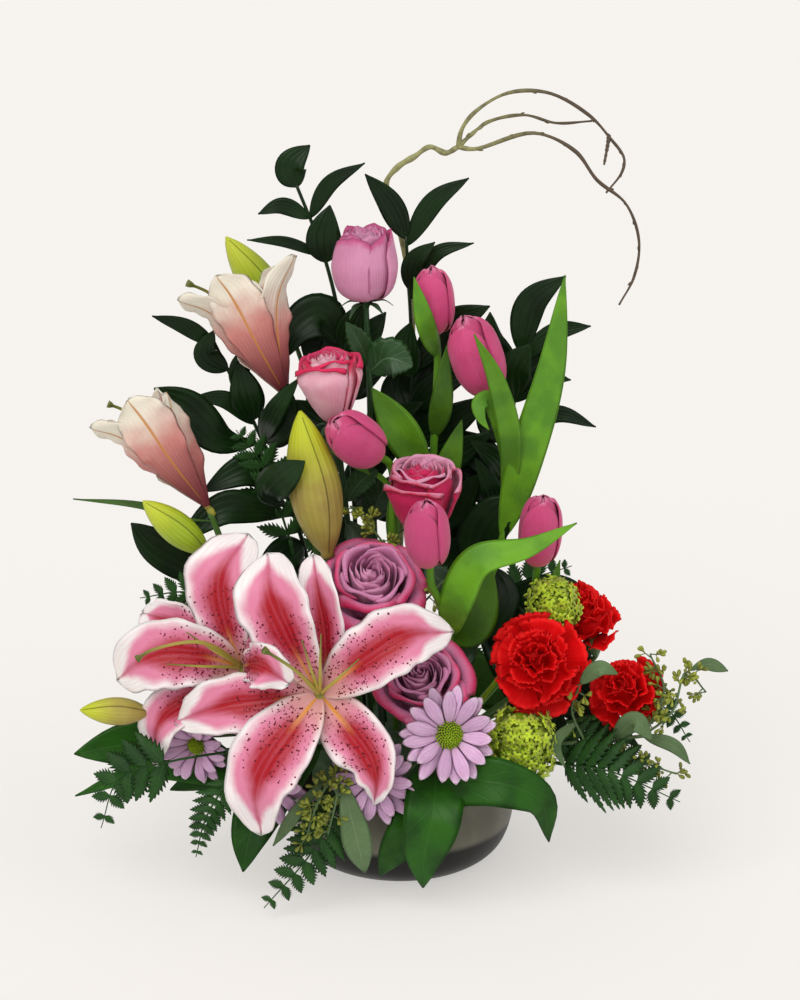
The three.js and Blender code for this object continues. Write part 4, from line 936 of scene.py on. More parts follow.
class Workshop:
    """Makes every finish once and turns shapes into dressed pieces."""

    def __init__(self) -> None:
        """Makes the finishes and the tree that sets a copy of one small mesh on each point."""
        self.materials = {look: look.value.make() for look in Look}
        inputs = {"Points": "Geometry", "Copy": "Object", "Size": "Float", "Finish": "Material"}
        group = Group("copies_on_points", inputs, {"Geometry": "Geometry"}, "Geometry")
        given, named = group.given, "GeometryNodeInputNamedAttribute"
        turn = group.get(named, {"Name": "turn"}, "Attribute", data_type="FLOAT_VECTOR")
        size = group.get(named, {"Name": "size"}, "Attribute", data_type="FLOAT")
        placed = group.get("GeometryNodeInstanceOnPoints", {
            "Points": given["Points"],
            "Instance": group.get("GeometryNodeObjectInfo", {"Object": given["Copy"]}, "Geometry"),
            "Rotation": group.get("FunctionNodeEulerToRotation", {0: turn}),
            "Scale": size * given["Size"],
        })
        real = group.get("GeometryNodeRealizeInstances", {"Geometry": placed})
        painted = group.get("GeometryNodeSetMaterial", {"Geometry": real, "Material": given["Finish"]})
        self.tree = group.give(Geometry=painted)
        self.sockets = {item.name: item.identifier for item in self.tree.interface.items_tree}

    def hand_over(self, mesh: bpy.types.Mesh, node: str) -> None:
        """Hands a finished mesh to the frame.

        Args:
            mesh: The finished mesh.
            node: The CAD node that it replaces.
        """
        piece = added(mesh.name, mesh)
        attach(piece, "root")
        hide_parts(node)
        log.info("%s: %d faces for %s", piece.name, len(mesh.polygons), node)

    def piece(self, node: str, label: str, look: Look, slot: str, shape: Shape) -> None:
        """Makes a piece from a shape.

        Args:
            node: The CAD node that it replaces.
            label: What it is called after the node's name.
            look: Its finish.
            slot: The record's material slot; not used.
            shape: Its form.
        """
        mesh = shape.mesh(f"{node}_{label}")
        mesh.materials.append(self.materials[look])
        self.hand_over(mesh, node)

    def copies(
        self, node: str, label: str, look: Look, slot: str, copy: Shape,
        places: list[tuple[Point, Point, float]], seed: int = 1,
    ) -> None:
        """Makes one piece of many copies.

        Args:
            node: The CAD node that it replaces.
            label: What it is called after the node's name.
            look: Its finish.
            slot: The record's material slot; not used.
            copy: The small form, standing on +Z.
            places: A point, the direction it stands in and its size for each copy.
            seed: Seed of each copy's turn and tone.
        """
        name = f"{node}_{label}"
        roll = np.random.default_rng(seed)
        mesh = bpy.data.meshes.new(f"{name}_points")
        mesh.from_pydata([tuple(p * TO_METRES) for p, _, _ in places], [], [])
        turns = []
        for _, out, _ in places:
            aim = Vector((0, 0, 1)).rotation_difference(Vector(out)).to_matrix()
            turns.extend((aim @ Matrix.Rotation(roll.uniform(0, ANY_TURN), 3, "Z")).to_euler())
        mesh.attributes.new("turn", "FLOAT_VECTOR", "POINT").data.foreach_set("vector", turns)
        mesh.attributes.new("size", "FLOAT", "POINT").data.foreach_set("value", [s for _, _, s in places])
        pattern, holder = added(f"{name}_copy", copy.mesh(f"{name}_copy")), added(f"{name}_points", mesh)
        modifier = holder.modifiers.new("copies", "NODES")
        modifier.node_group = self.tree
        for label, value in (("Copy", pattern), ("Size", 1.0), ("Finish", self.materials[look])):
            modifier[self.sockets[label]] = value
        graph = bpy.context.evaluated_depsgraph_get()
        made = bpy.data.meshes.new_from_object(holder.evaluated_get(graph), depsgraph=graph)
        holder.modifiers.remove(modifier)
        bpy.data.objects.remove(holder)
        bpy.data.objects.remove(pattern)
        tones = np.repeat(roll.uniform(-1, 1, len(places)), len(made.vertices) // len(places))
        made.attributes["tone"].data.foreach_set("value", tones.astype(np.float32))
        made.name = name
        made.shade_smooth()
        self.hand_over(made, node)


# ---- forms


def frames(path: np.ndarray, facing: np.ndarray, roll: float = 0.0) -> tuple[np.ndarray, np.ndarray]:
    """Directions across and out of a ribbon that follows a path.

    Args:
        path: Points of its middle line.
        facing: The direction that its upper face looks in, for all rows or one for each.
        roll: A turn about the path, in degrees.

    Returns:
        For each point, the direction across and the direction out.
    """
    sides, normals = [], []
    for tangent, face in zip(np.gradient(path, axis=0), np.broadcast_to(facing, path.shape)):
        t = unit(tangent)
        normal = unit(face - t * float(face @ t))
        if roll:
            normal = np.array(Matrix.Rotation(math.radians(roll), 3, Vector(t)) @ Vector(normal))
        normals.append(normal)
        sides.append(np.cross(t, normal))
    return np.array(sides), np.array(normals)


def ribbon(
    path: np.ndarray, half: np.ndarray, facing: np.ndarray, roll: float, columns: int, lift: Lift,
    sweep: float = 0.0,
) -> np.ndarray:
    """A grid of points for a leaf or tepal.

    Args:
        path: Points of its rib.
        half: Half its width at each point.
        facing: The direction that its upper face looks in.
        roll: A turn about the rib, in degrees.
        columns: Points across.
        lift: From the place across (-1 to 1), the share along and half the width, how far a point is
            raised.
        sweep: How far the border leans towards the tip, as a share of half the width.

    Returns:
        The grid, by row and column.
    """
    sides, normals = frames(path, facing, roll)
    s = np.linspace(-1, 1, columns)[None, :]
    t = np.linspace(0, 1, len(path))[:, None]
    wide = half[:, None]
    raised = lift(s, t, wide)[..., None] * normals[:, None]
    swept = (sweep * np.abs(s) * wide)[..., None] * np.cross(normals, sides)[:, None]
    return path[:, None] + (s * wide)[..., None] * sides[:, None] + raised + swept


@dataclass(frozen=True)
class Leaf:
    """A leaf or blade along a rib of places, facing the viewer unless it is rolled."""

    rib: Sequence[Place]
    width: float
    roll: float = 0.0
    peak: float = 0.42
    power: float = 0.85
    fold: float = 0.16
    wave: float = 0.5
    teeth: int = 0
    rows: int = 22
    arch: float = 0.12
    shade: float = 0.0

    def grow(self, shape: Shape, tone: float, start: Point) -> None:
        """Adds the leaf to a shape.

        Args:
            shape: What it is added to.
            tone: How light it is.
            start: Where it leaves its stem, instead of its first place.
        """
        rib = [start, *(seen(place) for place in self.rib[1:])]
        if len(rib) == 2:
            bow = np.cross(rib[1] - rib[0], TO_VIEWER) * self.arch + 0.1 * self.width * TO_VIEWER
            rib.insert(1, (rib[0] + rib[1]) / 2 + bow)
        rows = max(self.rows, 4 * self.teeth)
        shares = np.linspace(0, 1, rows + 1)
        half = np.maximum(self.width / 2 * swell(shares, self.peak, self.power), 0.5)
        if self.teeth:
            half = half * (0.86 + 0.16 * ((shares * self.teeth) % 1.0))
        tone += self.shade

        def lift(s: np.ndarray, t: np.ndarray, wide: np.ndarray) -> np.ndarray:
            """Sides raised from the rib, a little rippled."""
            ripple = self.wave * np.sin(9.0 * t + 5.0 * tone + 1.7 * np.sign(s)) * s * s
            return self.fold * wide * np.abs(s) ** 1.4 + ripple * np.minimum(1.0, wide / 4)

        sweep = 0.3 if self.teeth else 0.0
        grid = ribbon(Curve(rib).points(rows), half, TO_VIEWER, self.roll, 9, lift, sweep)
        shape.plate(grid, LEAF_THICKNESS, tone)


@dataclass(frozen=True)
class Frond:
    """A fern frond: deeply toothed leaflets in pairs that shrink to the tip."""

    rib: Sequence[Place]
    width: float
    pairs: int = 8
    lean: float = 0.7
    bare: float = 0.0
    roll: float = 0.0
    droop: float = 0.2
    teeth: int = 7

    def grow(self, shape: Shape, tone: float = 0.0) -> None:
        """Adds the frond to a shape.

        Args:
            shape: What it is added to.
            tone: How light it is.
        """
        steps = 8 * self.pairs
        path = through(*self.rib).points(steps)
        sides, normals = frames(path, TO_VIEWER, self.roll)
        shape.tube(path, np.linspace(1.0, 0.35, steps + 1), 5, tone)
        step = float(np.linalg.norm(np.diff(path, axis=0), axis=1).sum()) / (self.pairs + 1)
        out = np.linspace(0, 1, 4 * self.teeth + 1)
        notched = 0.4 + 0.6 * ((out * self.teeth + 0.2) % 1.0) ** 0.8
        for i in range(self.pairs + 1):
            share = (i + 0.3) / (self.pairs + 1)
            if share < self.bare:
                continue
            row = min(steps, int(share * steps))
            ahead = unit(path[min(row + 1, steps)] - path[max(row - 1, 0)])
            reach = self.width / 2 * min(1.0, 0.72 + 0.3 * i) * (1 - share * 0.97) ** 0.7 * 1.15 + 1.0
            half = np.maximum(0.64 * min(step, 0.7 * reach) * swell(out, 0.24, 0.85) * notched, 0.2)
            for way in (1, -1):
                slant = way * sides[row] + self.lean * ahead - self.droop * out[:, None] * normals[row]
                leaflet = ribbon(
                    path[row] + out[:, None] * reach * slant, half, normals[row], 10.0 * way, 5,
                    lambda s, t, wide: -0.2 * wide * np.abs(s) + 0.25 * np.sin(9 * t) * s, 0.7,
                )
                shape.plate(leaflet, LEAFLET_THICKNESS, tone + 0.35 * way * math.sin(2.3 * i))


@dataclass(frozen=True)
class Stem:
    """A stem from its hole in the foam to what it carries."""

    foot: tuple[float, float]
    base: Place
    mouth: Optional[Place] = None
    via: Sequence[Place] = ()
    thick: float = 2.4
    thin: float = 2.0
    hip: float = 0.0

    def path(self, steps: int = 40) -> np.ndarray:
        """Points along the stem.

        Args:
            steps: How many steps it takes above the foam.

        Returns:
            The points, the first of them in the foam.
        """
        x, y = self.foot
        end = seen(self.base)
        knots = [at(x, y, FOAM_TOP + HOLE_LIP), *self.via]
        if self.mouth is None:
            knots.append(end)
        else:
            axis = unit(seen(self.mouth) - end)
            knots += [end - STRAIGHT_NECK * axis, end + BLOOM_GRIP * axis]
        root = at(STEM_LEAN * x, STEM_LEAN * y, FOAM_TOP - STEM_DEPTH)
        return np.concatenate([[root], through(*knots).points(steps)])

    def grow(self, shape: Shape, tone: float = 0.0, joints: int = 0) -> np.ndarray:
        """Adds the stem to a shape.

        Args:
            shape: What it is added to.
            tone: How light it is.
            joints: How many swollen joints it has.

        Returns:
            Its path.
        """
        path = self.path()
        shares = np.linspace(0, 1, len(path))
        radii = self.thick + (self.thin - self.thick) * shares
        if joints:
            radii = radii * (1 + 0.22 * np.maximum(0, np.cos(shares * joints * 2 * math.pi)) ** 12)
        if self.hip:
            radii = radii + (self.hip - self.thin) * eased(shares, 0.9, 1.0)
        shape.tube(path, radii, 9, tone)
        return path


def grow_leaves(shape: Shape, leaves: Sequence[Leaf], path: np.ndarray, phase: float) -> None:
    """Adds leaves of uneven lightness to a shape, each from the point of a path nearest to its root."""
    for i, leaf in enumerate(leaves):
        leaf.grow(shape, 0.4 * math.sin(2.0 * i + phase), closest(path, leaf.rib[0]))


def cupped(
    place: Polar, profile: Sequence[tuple[float, float]], middle: float, half: float,
    spread: Callable[[np.ndarray], np.ndarray], spiral: float, drop: float, peak: float, ripple: float,
    rows: int, columns: int,
) -> np.ndarray:
    """A grid of points for a petal that wraps round a bloom's axis.

    Args:
        place: The bloom's polar coordinates.
        profile: (radius, height) from the petal's root to its lip.
        middle: Its angle.
        half: Half its angle where it is widest.
        spread: Share of that angle, from the share of its length.
        spiral: How much farther out one side is than the other.
        drop: How much lower its corners are than its middle.
        peak: Height of the point in the middle of its lip.
        ripple: Height of the waves of its lip.
        rows: Rows of points.
        columns: Points across.

    Returns:
        The grid, by row and column.
    """
    outline = Curve(profile).points(rows)
    s = np.linspace(-1, 1, columns)[None, :]
    t = np.linspace(0, 1, rows + 1)[:, None]
    late = eased(t, 0.45, 1.0)
    wave = ripple * late * np.sin(5.3 * s + 3.1 * middle + 2 * t)
    radius = np.maximum(outline[:, :1] + spiral * s * np.minimum(1.0, 3 * t) + wave, 0.3)
    height = outline[:, 1:] - drop * s * s * late + peak * np.maximum(0, 1 - 3.2 * np.abs(s)) * t**5
    height = height + 0.6 * ripple * late * np.cos(6.1 * s + 2.0 * middle)
    return place(radius, middle - s * half * spread(t), height)


# ---- the holder


@dataclass(frozen=True)
class Bowl:
    """The low round bowl: a turned wall with a rounded rim over a flat foot, in millimetres."""

    foot: float = 50.0
    belly: float = 82.0
    belly_height: float = 36.0
    rim: float = 80.0
    height: float = 62.0
    wall: float = 3.2
    floor: float = 5.0
    sides: int = 96

    def outline(self) -> np.ndarray:
        """The outline of the wall, from under the foot round to the floor.

        Returns:
            Rows of (radius, height).
        """
        foot, top, bulge = self.foot, self.height - 1.6, self.belly_height
        outer = Curve([
            (foot - 1.2, 0), (foot + 2, 0.5), (foot + 14, 4), (foot + 25, 14), (self.belly, bulge),
            (self.rim, top),
        ])
        inner = Curve([
            (self.rim - self.wall, top), (self.belly - self.wall, bulge), (foot + 22, 17),
            (foot + 10, self.floor + 3), (foot - 6, self.floor),
        ])
        round_rim = np.linspace(0.3, math.pi - 0.3, 7)[:, None] + [0, 0]
        round_rim = [self.rim - self.wall / 2, top] + np.hstack(
            [self.wall / 2 * np.cos(round_rim[:, :1]), 1.6 * np.sin(round_rim[:, 1:])]
        )
        hollow = [(0.01, 1.2), (foot - 14, 1.2), (foot - 7, 0.9), (foot - 5, 0)]
        return np.concatenate([hollow, outer.points(34), round_rim, inner.points(26), [(0.01, self.floor)]])

    def build(self, shop: Workshop) -> None:
        """Builds and dresses the bowl.

        Args:
            shop: Makes its piece.
        """
        outline = self.outline()
        shape = Shape()
        angles = np.arange(self.sides) * 2 * math.pi / self.sides
        r, h = outline[:, :1], outline[:, 1:]
        rings = np.stack([r * np.cos(angles), r * np.sin(angles), h + 0 * angles], axis=2)
        shape.loft(rings, [[0, 0, h[0, 0]], [0, 0, h[-1, 0]]])
        shop.piece("bowl", "turned", Look.GLAZE, "bowl", shape)


@dataclass(frozen=True)
class FoamBlock:
    """The block of floral foam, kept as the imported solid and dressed."""

    node: str = "foam"

    def build(self, shop: Workshop) -> None:
        """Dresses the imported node.

        Args:
            shop: Has its finish.
        """
        mesh = bpy.data.objects[self.node].data
        mesh.materials.clear()
        mesh.materials.append(shop.materials[Look.FOAM])
        log.info("%s: kept, with pores", self.node)


# ---- blooms


@dataclass(frozen=True)
class Flower:
    """A bloom from its base to its mouth, on a stem of its own with its leaves.

    Each kind has a seed for its random draws and a petal's thickness.
    """

    number: int
    base: Place
    mouth: Place
    radius: float
    turn: float
    stem: Stem
    leaves: Sequence[Leaf] = ()
    look: Look = Look.TULIP

    kind, green_label, green_look, joints = "tulip", "blades", Look.TULIP_GREEN, 0
    seed, petal = 60, 0.9

    @cached_property
    def place(self) -> Polar:
        """Polar coordinates about the bloom's axis."""
        return Polar(seen(self.base), seen(self.mouth), self.turn)

    def crown(self, shape: Shape) -> None:
        """Adds what the stem carries right under the petals; a tulip has nothing there."""

    def build(self, shop: Workshop) -> None:
        """Builds and dresses the petals, and the stem with all that is green.

        Args:
            shop: Makes its pieces.
        """
        shop.piece(f"{self.kind}_{self.number}", "petals", self.look, f"{self.kind}_petal", self.bloom())
        shape = Shape()
        path = self.stem.grow(shape, 0.1, self.joints)
        self.crown(shape)
        grow_leaves(shape, self.leaves, path, self.number)
        node = f"{self.kind}_stem_{self.number}"
        shop.piece(node, self.green_label, self.green_look, f"{self.kind}_green", shape)


@dataclass(frozen=True)
class Rose(Flower):
    """A rose: a spiral heart wrapped in rounds of petals, over sepals."""

    open: float = 0.5
    waist: float = 0.9

    kind, green_label, green_look, joints = "rose", "leafy", Look.ROSE_GREEN, 3
    seed, petal = 40, 0.7

    def layers(self) -> list[tuple[float, ...]]:
        """The rounds of petals, the outermost first: a closed bud leans in, an open rose curls out.

        Returns:
            For each round, how many petals, how far out, how high, how far the lips lean and curl,
            and half the angle of a petal.
        """
        o = self.open
        lean = 0.42 * o
        return [
            (3 + round(o), 1.0, 0.99 - 0.4 * o, lean - 0.26, 0.02 + 0.26 * o, 1.0),
            (4, 0.92 - 0.14 * o, 1.0 - 0.2 * o, lean - 0.3, 0.02 + 0.16 * o, 1.0),
            (4, 0.78 - 0.12 * o, 0.98 - 0.1 * o, 0.9 * lean - 0.3, 0.02 + 0.09 * o, 0.98),
            (4, 0.63 - 0.08 * o, 0.97 - 0.04 * o, 0.7 * lean - 0.26, 0.03, 1.0),
            (4, 0.5 - 0.06 * o, 0.98 - 0.02 * o, 0.5 * lean - 0.2, 0.03, 1.05),
            (3, 0.38 - 0.04 * o, 0.98, 0.4 * lean - 0.2, 0.02, 1.25),
            (3, 0.27 - 0.03 * o, 0.98, -0.14, 0.0, 1.35),
            (2, 0.17 - 0.02 * o, 0.98, -0.12, 0.0, 1.9),
            (1, 0.09, 0.97, -0.1, 0.0, 2.7),
        ]

    def bloom(self) -> Shape:
        """The petals.

        Returns:
            Their shape.
        """
        shape = Shape()
        high, wide = self.place.height, self.radius / 1.08
        roll = np.random.default_rng(self.seed + self.number)
        for depth, (count, reach, lip, flare, curl, half) in enumerate(self.layers()):
            full = min(0.5, 0.62 * lip) * high
            low = (0.02 + 0.02 * depth) * high
            for k in range(count):
                far = reach * wide * (1 + 0.03 * roll.uniform(-1, 1))
                top = (lip + 0.015 * roll.uniform(-1, 1)) * high
                out, waist = far * (1 + flare), self.waist * far
                lap = curl * wide * (1 + 0.5 * roll.uniform(-1, 1))
                profile = [
                    (0.12 * far, low), (0.62 * waist, low + 0.07 * high), (0.9 * waist, low + 0.2 * high),
                    ((waist + far) / 2, full), (0.45 * far + 0.55 * out, 0.5 * (full + top)),
                    (out, top - 0.02 * high),
                ]
                if lap > 1.2:
                    profile += [(out + 0.6 * lap, top + 0.01 * high), (out + lap, top - 0.45 * lap)]
                middle = 2 * math.pi * k / count + 0.9 * depth + 0.12 * roll.uniform(-1, 1)
                grid = cupped(
                    self.place, profile, middle, half,
                    lambda t: 0.45 + 0.55 * eased(t, 0.0, 0.35) - 0.16 * eased(t, 0.8, 1.0),
                    0.07 * wide, (0.09 if depth < 5 else 0.05) * high, 0.03 * high,
                    (0.035 if depth < 3 else 0.015) * wide, 18 if depth < 3 else 12, 17,
                )
                shape.plate(grid, self.petal, 0.5 * roll.uniform(-1, 1), 1.0 if depth < 2 else 0.72)
        return shape

    def crown(self, shape: Shape) -> None:
        """Adds the sepals.

        Args:
            shape: What they are added to.
        """
        for k in range(5):
            angle = 2 * math.pi * k / 5 + 0.3 - self.turn
            size = 18.0 + 4.0 * math.sin(3.0 * k)
            r, h = size * np.array([[0.16, 0.4, 0.66, 0.92, 1.16], [0.02, 0.06, 0.04, -0.12, -0.34]])
            rib = Curve(self.place(r, angle + 0.1 * r / size, h)).points(12)
            half = np.maximum(3.0 * swell(np.linspace(0, 1, 13), 0.3, 0.8), 0.3)
            sepal = ribbon(rib, half, self.place.axis, 0.0, 5, lambda s, t, w: -0.2 * w * np.abs(s))
            shape.plate(sepal, SEPAL_THICKNESS, 0.3)


@dataclass(frozen=True)
class Tulip(Flower):
    """A tulip: three outer and three inner petals closed over a core, on a stem with blades."""

    def bloom(self) -> Shape:
        """The petals.

        Returns:
            Their shape.
        """
        shape = Shape()
        high = self.place.height
        roll = np.random.default_rng(self.seed + self.number)
        for layer, (reach, start, least) in enumerate(((1.04, 0.5, 0.012), (0.84, 0.8, 0.3))):
            low = (0.015 + 0.03 * layer) * high
            for k in range(3):
                r = reach * self.radius
                top = (0.95 + 0.06 * layer + 0.02 * roll.uniform(-1, 1)) * high
                profile = [
                    (0.16 * r, low), (0.62 * r, low + 0.07 * high), (0.92 * r, 0.27 * high), (r, 0.52 * high),
                    (0.9 * r, 0.76 * high), (0.64 * r, 0.9 * high), ((0.34 - 0.24 * layer) * r, top),
                ]
                grid = cupped(
                    self.place, profile, 2 * math.pi * k / 3 + layer, 1.16 - 0.04 * layer,
                    lambda t: (0.3 + 0.7 * eased(t, 0.0, 0.35))
                    * np.sqrt(np.maximum(least, 1 - eased(t, start, 1.02) ** 1.6)),
                    0.05 * self.radius, 0.0, 0.02 * high, 0.02 * self.radius, 20, 15,
                )
                shape.plate(grid, self.petal, 0.5 * roll.uniform(-1, 1))
        girth = self.radius * np.array([0.5, 0.7, 0.76, 0.76, 0.7, 0.6, 0.46, 0.3, 0.12])
        shape.tube(self.place.spine(high * np.linspace(0.3, 0.955, 9)), girth, 16, -0.3)
        return shape


@dataclass(frozen=True)
class Carnation(Flower):
    """A carnation: rounds of fan-shaped petals with ruffled, toothed edges, over a long calyx."""

    look: Look = Look.CARNATION

    kind, green_label, green_look, joints = "carnation", "calyx", Look.STEM_GREEN, 3
    seed, petal = 80, 0.45

    def bloom(self) -> Shape:
        """The petals: (count, root height, reach, lip height) for each round, as shares.

        Returns:
            Their shape.
        """
        shape = Shape()
        high, wide = self.place.height, self.radius
        roll = np.random.default_rng(self.seed + self.number)
        rounds = ((6, 0.1, 1.0, 0.26), (6, 0.25, 0.96, 0.5), (6, 0.4, 0.82, 0.72),
                  (5, 0.5, 0.64, 0.9), (5, 0.58, 0.46, 1.02), (4, 0.62, 0.28, 1.08), (3, 0.64, 0.14, 1.1))
        s = np.linspace(-1, 1, 23)[None, :]
        t = np.linspace(0, 1, 11)[:, None]
        teeth = 0.045 * wide * (np.abs((s * 7 + 0.3) % 1.0 - 0.5) * 2 - 0.5) * (t > 0.99)
        for tier, (count, root, reach, lip) in enumerate(rounds):
            for k in range(count):
                far = reach * wide * (1 + 0.2 * roll.uniform(-1, 0.5))
                top = (lip + 0.1 * roll.uniform(-1, 1)) * high
                middle = 2 * math.pi * (k + 0.4 * tier) / count + 0.35 * roll.uniform(-1, 1)
                phase, waves = roll.uniform(0, 6.3), roll.uniform(2.4, 4.6)
                ruffle = 0.13 * wide * t**1.6 * np.sin(waves * s + phase)
                ruffle = ruffle + 0.05 * wide * t**3 * np.sin(2.7 * waves * s + 2 * phase)
                radius = 0.1 * wide + (far - 0.1 * wide) * t ** (0.8 + 0.9 * (1 - reach)) + teeth
                radius = radius - 0.6 * ruffle * (1 - 0.5 * reach)
                height = root * high + (top - root * high) * t ** (0.9 + 0.5 * reach)
                height = height - 0.05 * high * s * s * t + ruffle
                angle = middle - s * math.pi / count * 1.3 * (0.35 + 0.65 * t**0.7)
                fan = self.place(np.maximum(radius, 0.5), angle, height)
                shape.plate(fan, self.petal, 0.6 * roll.uniform(-1, 1))
        # A darker core fills the bloom behind the petals: painted shade in the bloom's depth.
        girth = wide * np.array([0.16, 0.36, 0.48, 0.5, 0.44, 0.34, 0.22, 0.08])
        shape.tube(self.place.spine(high * np.linspace(0.06, 0.9, 8)), girth, 16, -1.0)
        return shape

    def crown(self, shape: Shape) -> None:
        """Adds the calyx."""
        girth = (2.0, 3.2, 4.2, 5.0, 5.6, 6.0, 6.2, 6.3, 6.3, 6.2, 6.0, 5.0)
        shape.tube(self.place.spine(np.linspace(-14, 7, 12)), girth, 10, 0.2)


@dataclass(frozen=True)
class Tepal:
    """A lily's tepal, its rib given from the heart to the tip."""

    rib: Sequence[Place]
    width: float
    peak: float = 0.54
    power: float = 0.62
    cup: float = 0.1
    wave: float = 2.2
    curl: float = 9.0

    def grid(self, heart: Point, facing: np.ndarray, rows: int = 30, columns: int = 17) -> np.ndarray:
        """Its grid of points.

        Args:
            heart: Where it starts.
            facing: Where its upper face looks, or the bloom's axis as two points.
            rows: Rows of points.
            columns: Points across.

        Returns:
            The grid, by row and column.
        """
        path = through(heart, *self.rib).points(rows)
        shares = np.linspace(0, 1, rows + 1)
        half = np.maximum(self.width / 2 * swell(shares, self.peak, self.power), 0.9)
        half = half * (1 + 0.035 * np.sin(33.0 * shares + self.width) * eased(shares, 0.2, 0.5))
        look = np.broadcast_to(facing[-1:], path.shape) if len(facing) == 1 else None
        if look is None:
            along = unit(facing[1] - facing[0])
            look = facing[0] + np.maximum(0.0, (path - facing[0]) @ along)[:, None] * along - path
        path = path - (self.curl * eased(shares, 0.72, 1.0) ** 1.6)[:, None] * unit(look[-1])
        phase = 3.0 * float(self.width)

        def lift(s: np.ndarray, t: np.ndarray, wide: np.ndarray) -> np.ndarray:
            """A cupped tepal with a grooved middle and a rippled border."""
            ripple = np.sin(15.0 * t + phase + 2.1 * np.sign(s))
            ripple = ripple + 0.45 * np.sin(37.0 * t + phase * 2 - np.sign(s))
            border = self.wave * ripple * np.abs(s) ** 3 * eased(t, 0.08, 0.4)
            groove = -0.9 * np.exp(-((s / 0.13) ** 2)) * eased(t, 0.05, 0.3)
            return 2 * self.cup * wide * s * s + border + groove

        return ribbon(path, half, look, 0.0, columns, lift)


@dataclass(frozen=True)
class Lily:
    """A stargazer: six tepals, a style with its stigma, and filaments; a trumpet has a mouth."""

    number: int
    heart: Place
    towards: tuple[float, float, float]
    tepals: Sequence[Tepal]
    style: Sequence[Place]
    filaments: Sequence[Place] = ()
    mouth: Optional[Place] = None
    most_spots: int = 210

    def spots(self, grids: list[np.ndarray]) -> list[tuple[Point, Point, float]]:
        """Places of the raised dark spots near the heart of open tepals.

        Args:
            grids: The tepals' grids.

        Returns:
            A point, the direction out and a size for each spot.
        """
        roll = np.random.default_rng(7 * self.number)
        places = []
        for grid in grids:
            rows, columns = grid.shape[:2]
            normal = np.cross(np.gradient(grid, axis=1), np.gradient(grid, axis=0))
            for _ in range(self.most_spots):
                t, s = roll.uniform(0.1, 0.66), roll.uniform(-0.88, 0.88)
                if roll.uniform() < max(0.0, (t - 0.36) * 3.2) or abs(s) < 0.1:
                    continue
                i, j = t * (rows - 1), (s + 1) / 2 * (columns - 1)
                a, b = int(i), int(j)
                step, aside = grid[a + 1, b] - grid[a, b], grid[a, b + 1] - grid[a, b]
                out = unit(normal[a, b])
                point = grid[a, b] + step * (i - a) + aside * (j - b) + 0.34 * out
                places.append((point, out, roll.uniform(0.45, 0.95)))
        return places

    def threads(self) -> Shape:
        """The style and the filaments.

        Returns:
            Their shape.
        """
        shape = Shape()
        heart = seen(self.heart)
        path = through(heart, *self.style).points(20)
        shares = np.linspace(0, 1, 21)
        shape.tube(path, 2.2 - 1.1 * eased(shares, 0.0, 0.5) + 1.7 * eased(shares, 0.92, 0.97), 8, -0.4)
        knob = np.linspace(-5, 4, 7)[:, None] * unit(path[1] - heart) + heart
        shape.tube(knob, (2.6 if self.mouth else 4.2) * np.sin(np.linspace(0.5, 2.7, 7)), 12, 0.3)
        for i, tip in enumerate(self.filaments):
            out = (heart + seen(tip)) / 2 + 8 * TO_VIEWER
            shape.tube(through(heart, out, tip).points(14), np.linspace(1.5, 0.4, 15), 6, 0.9 - 0.2 * i)
        return shape

    def build(self, shop: Workshop) -> None:
        """Builds and dresses the lily.

        Args:
            shop: Makes its pieces.
        """
        node, slot, heart = f"lily_{self.number}", "lily_petal", seen(self.heart)
        facing = np.array([heart, seen(self.mouth)]) if self.mouth else unit(at(*self.towards))[None]
        grids = [tepal.grid(heart, facing) for tepal in self.tepals]
        shape = Shape()
        for i, grid in enumerate(grids):
            shape.plate(grid, TEPAL_THICKNESS, 0.4 * math.sin(2.4 * i))
        shop.piece(node, "tepals", Look.LILY_TRUMPET if self.mouth else Look.LILY, slot, shape)
        shop.piece(node, "style", Look.LILY_THREAD, slot, self.threads())
        if not self.mouth:
            dot = Shape()
            dot.tube([[0, 0, -0.25], [0, 0, 0.25], [0, 0, 0.55]], (0.95, 0.8, 0.35), 6)
            shop.copies(node, "spots", Look.LILY_SPOT, slot, dot, self.spots(grids), self.number)


@dataclass(frozen=True)
class Bud:
    """A closed lily bud of three ridged tepals."""

    base: Place
    tip: Place
    radius: float

    def grow(self, shape: Shape, tone: float = 0.0) -> None:
        """Adds the bud to a shape.

        Args:
            shape: What it is added to.
            tone: How light it is.
        """
        place = Polar(seen(self.base), seen(self.tip))
        shares = np.linspace(0, 1, 30)
        girth = self.radius * np.maximum(swell(shares**1.02, 0.46, 0.72), 0.06)
        girth[0] = max(girth[0], 0.28 * self.radius)
        shape.tube(place.spine(shares * place.height), girth, 36, tone)
        front = math.atan2(float(TO_VIEWER @ place.other), float(TO_VIEWER @ place.across))
        # Three thin dark ridges along the seams: painted shade of the grooves between the tepals.
        for k in range(3):
            angle = front + 0.2 + 2 * math.pi * k / 3 + 0.25 * np.sin(3 * shares)
            seam = place(girth - 0.15, angle, shares * place.height)[1:-1]
            shape.tube(seam, 0.45 * swell(shares[1:-1], 0.5, 0.3) + 0.12, 5, -1.8)


@dataclass(frozen=True)
class Shoot:
    """A side shoot of a lily stem, its first place on the stem or on an earlier shoot."""

    places: Sequence[Place]
    thick: float = 1.8
    thin: float = 1.6
    parent: int = -1


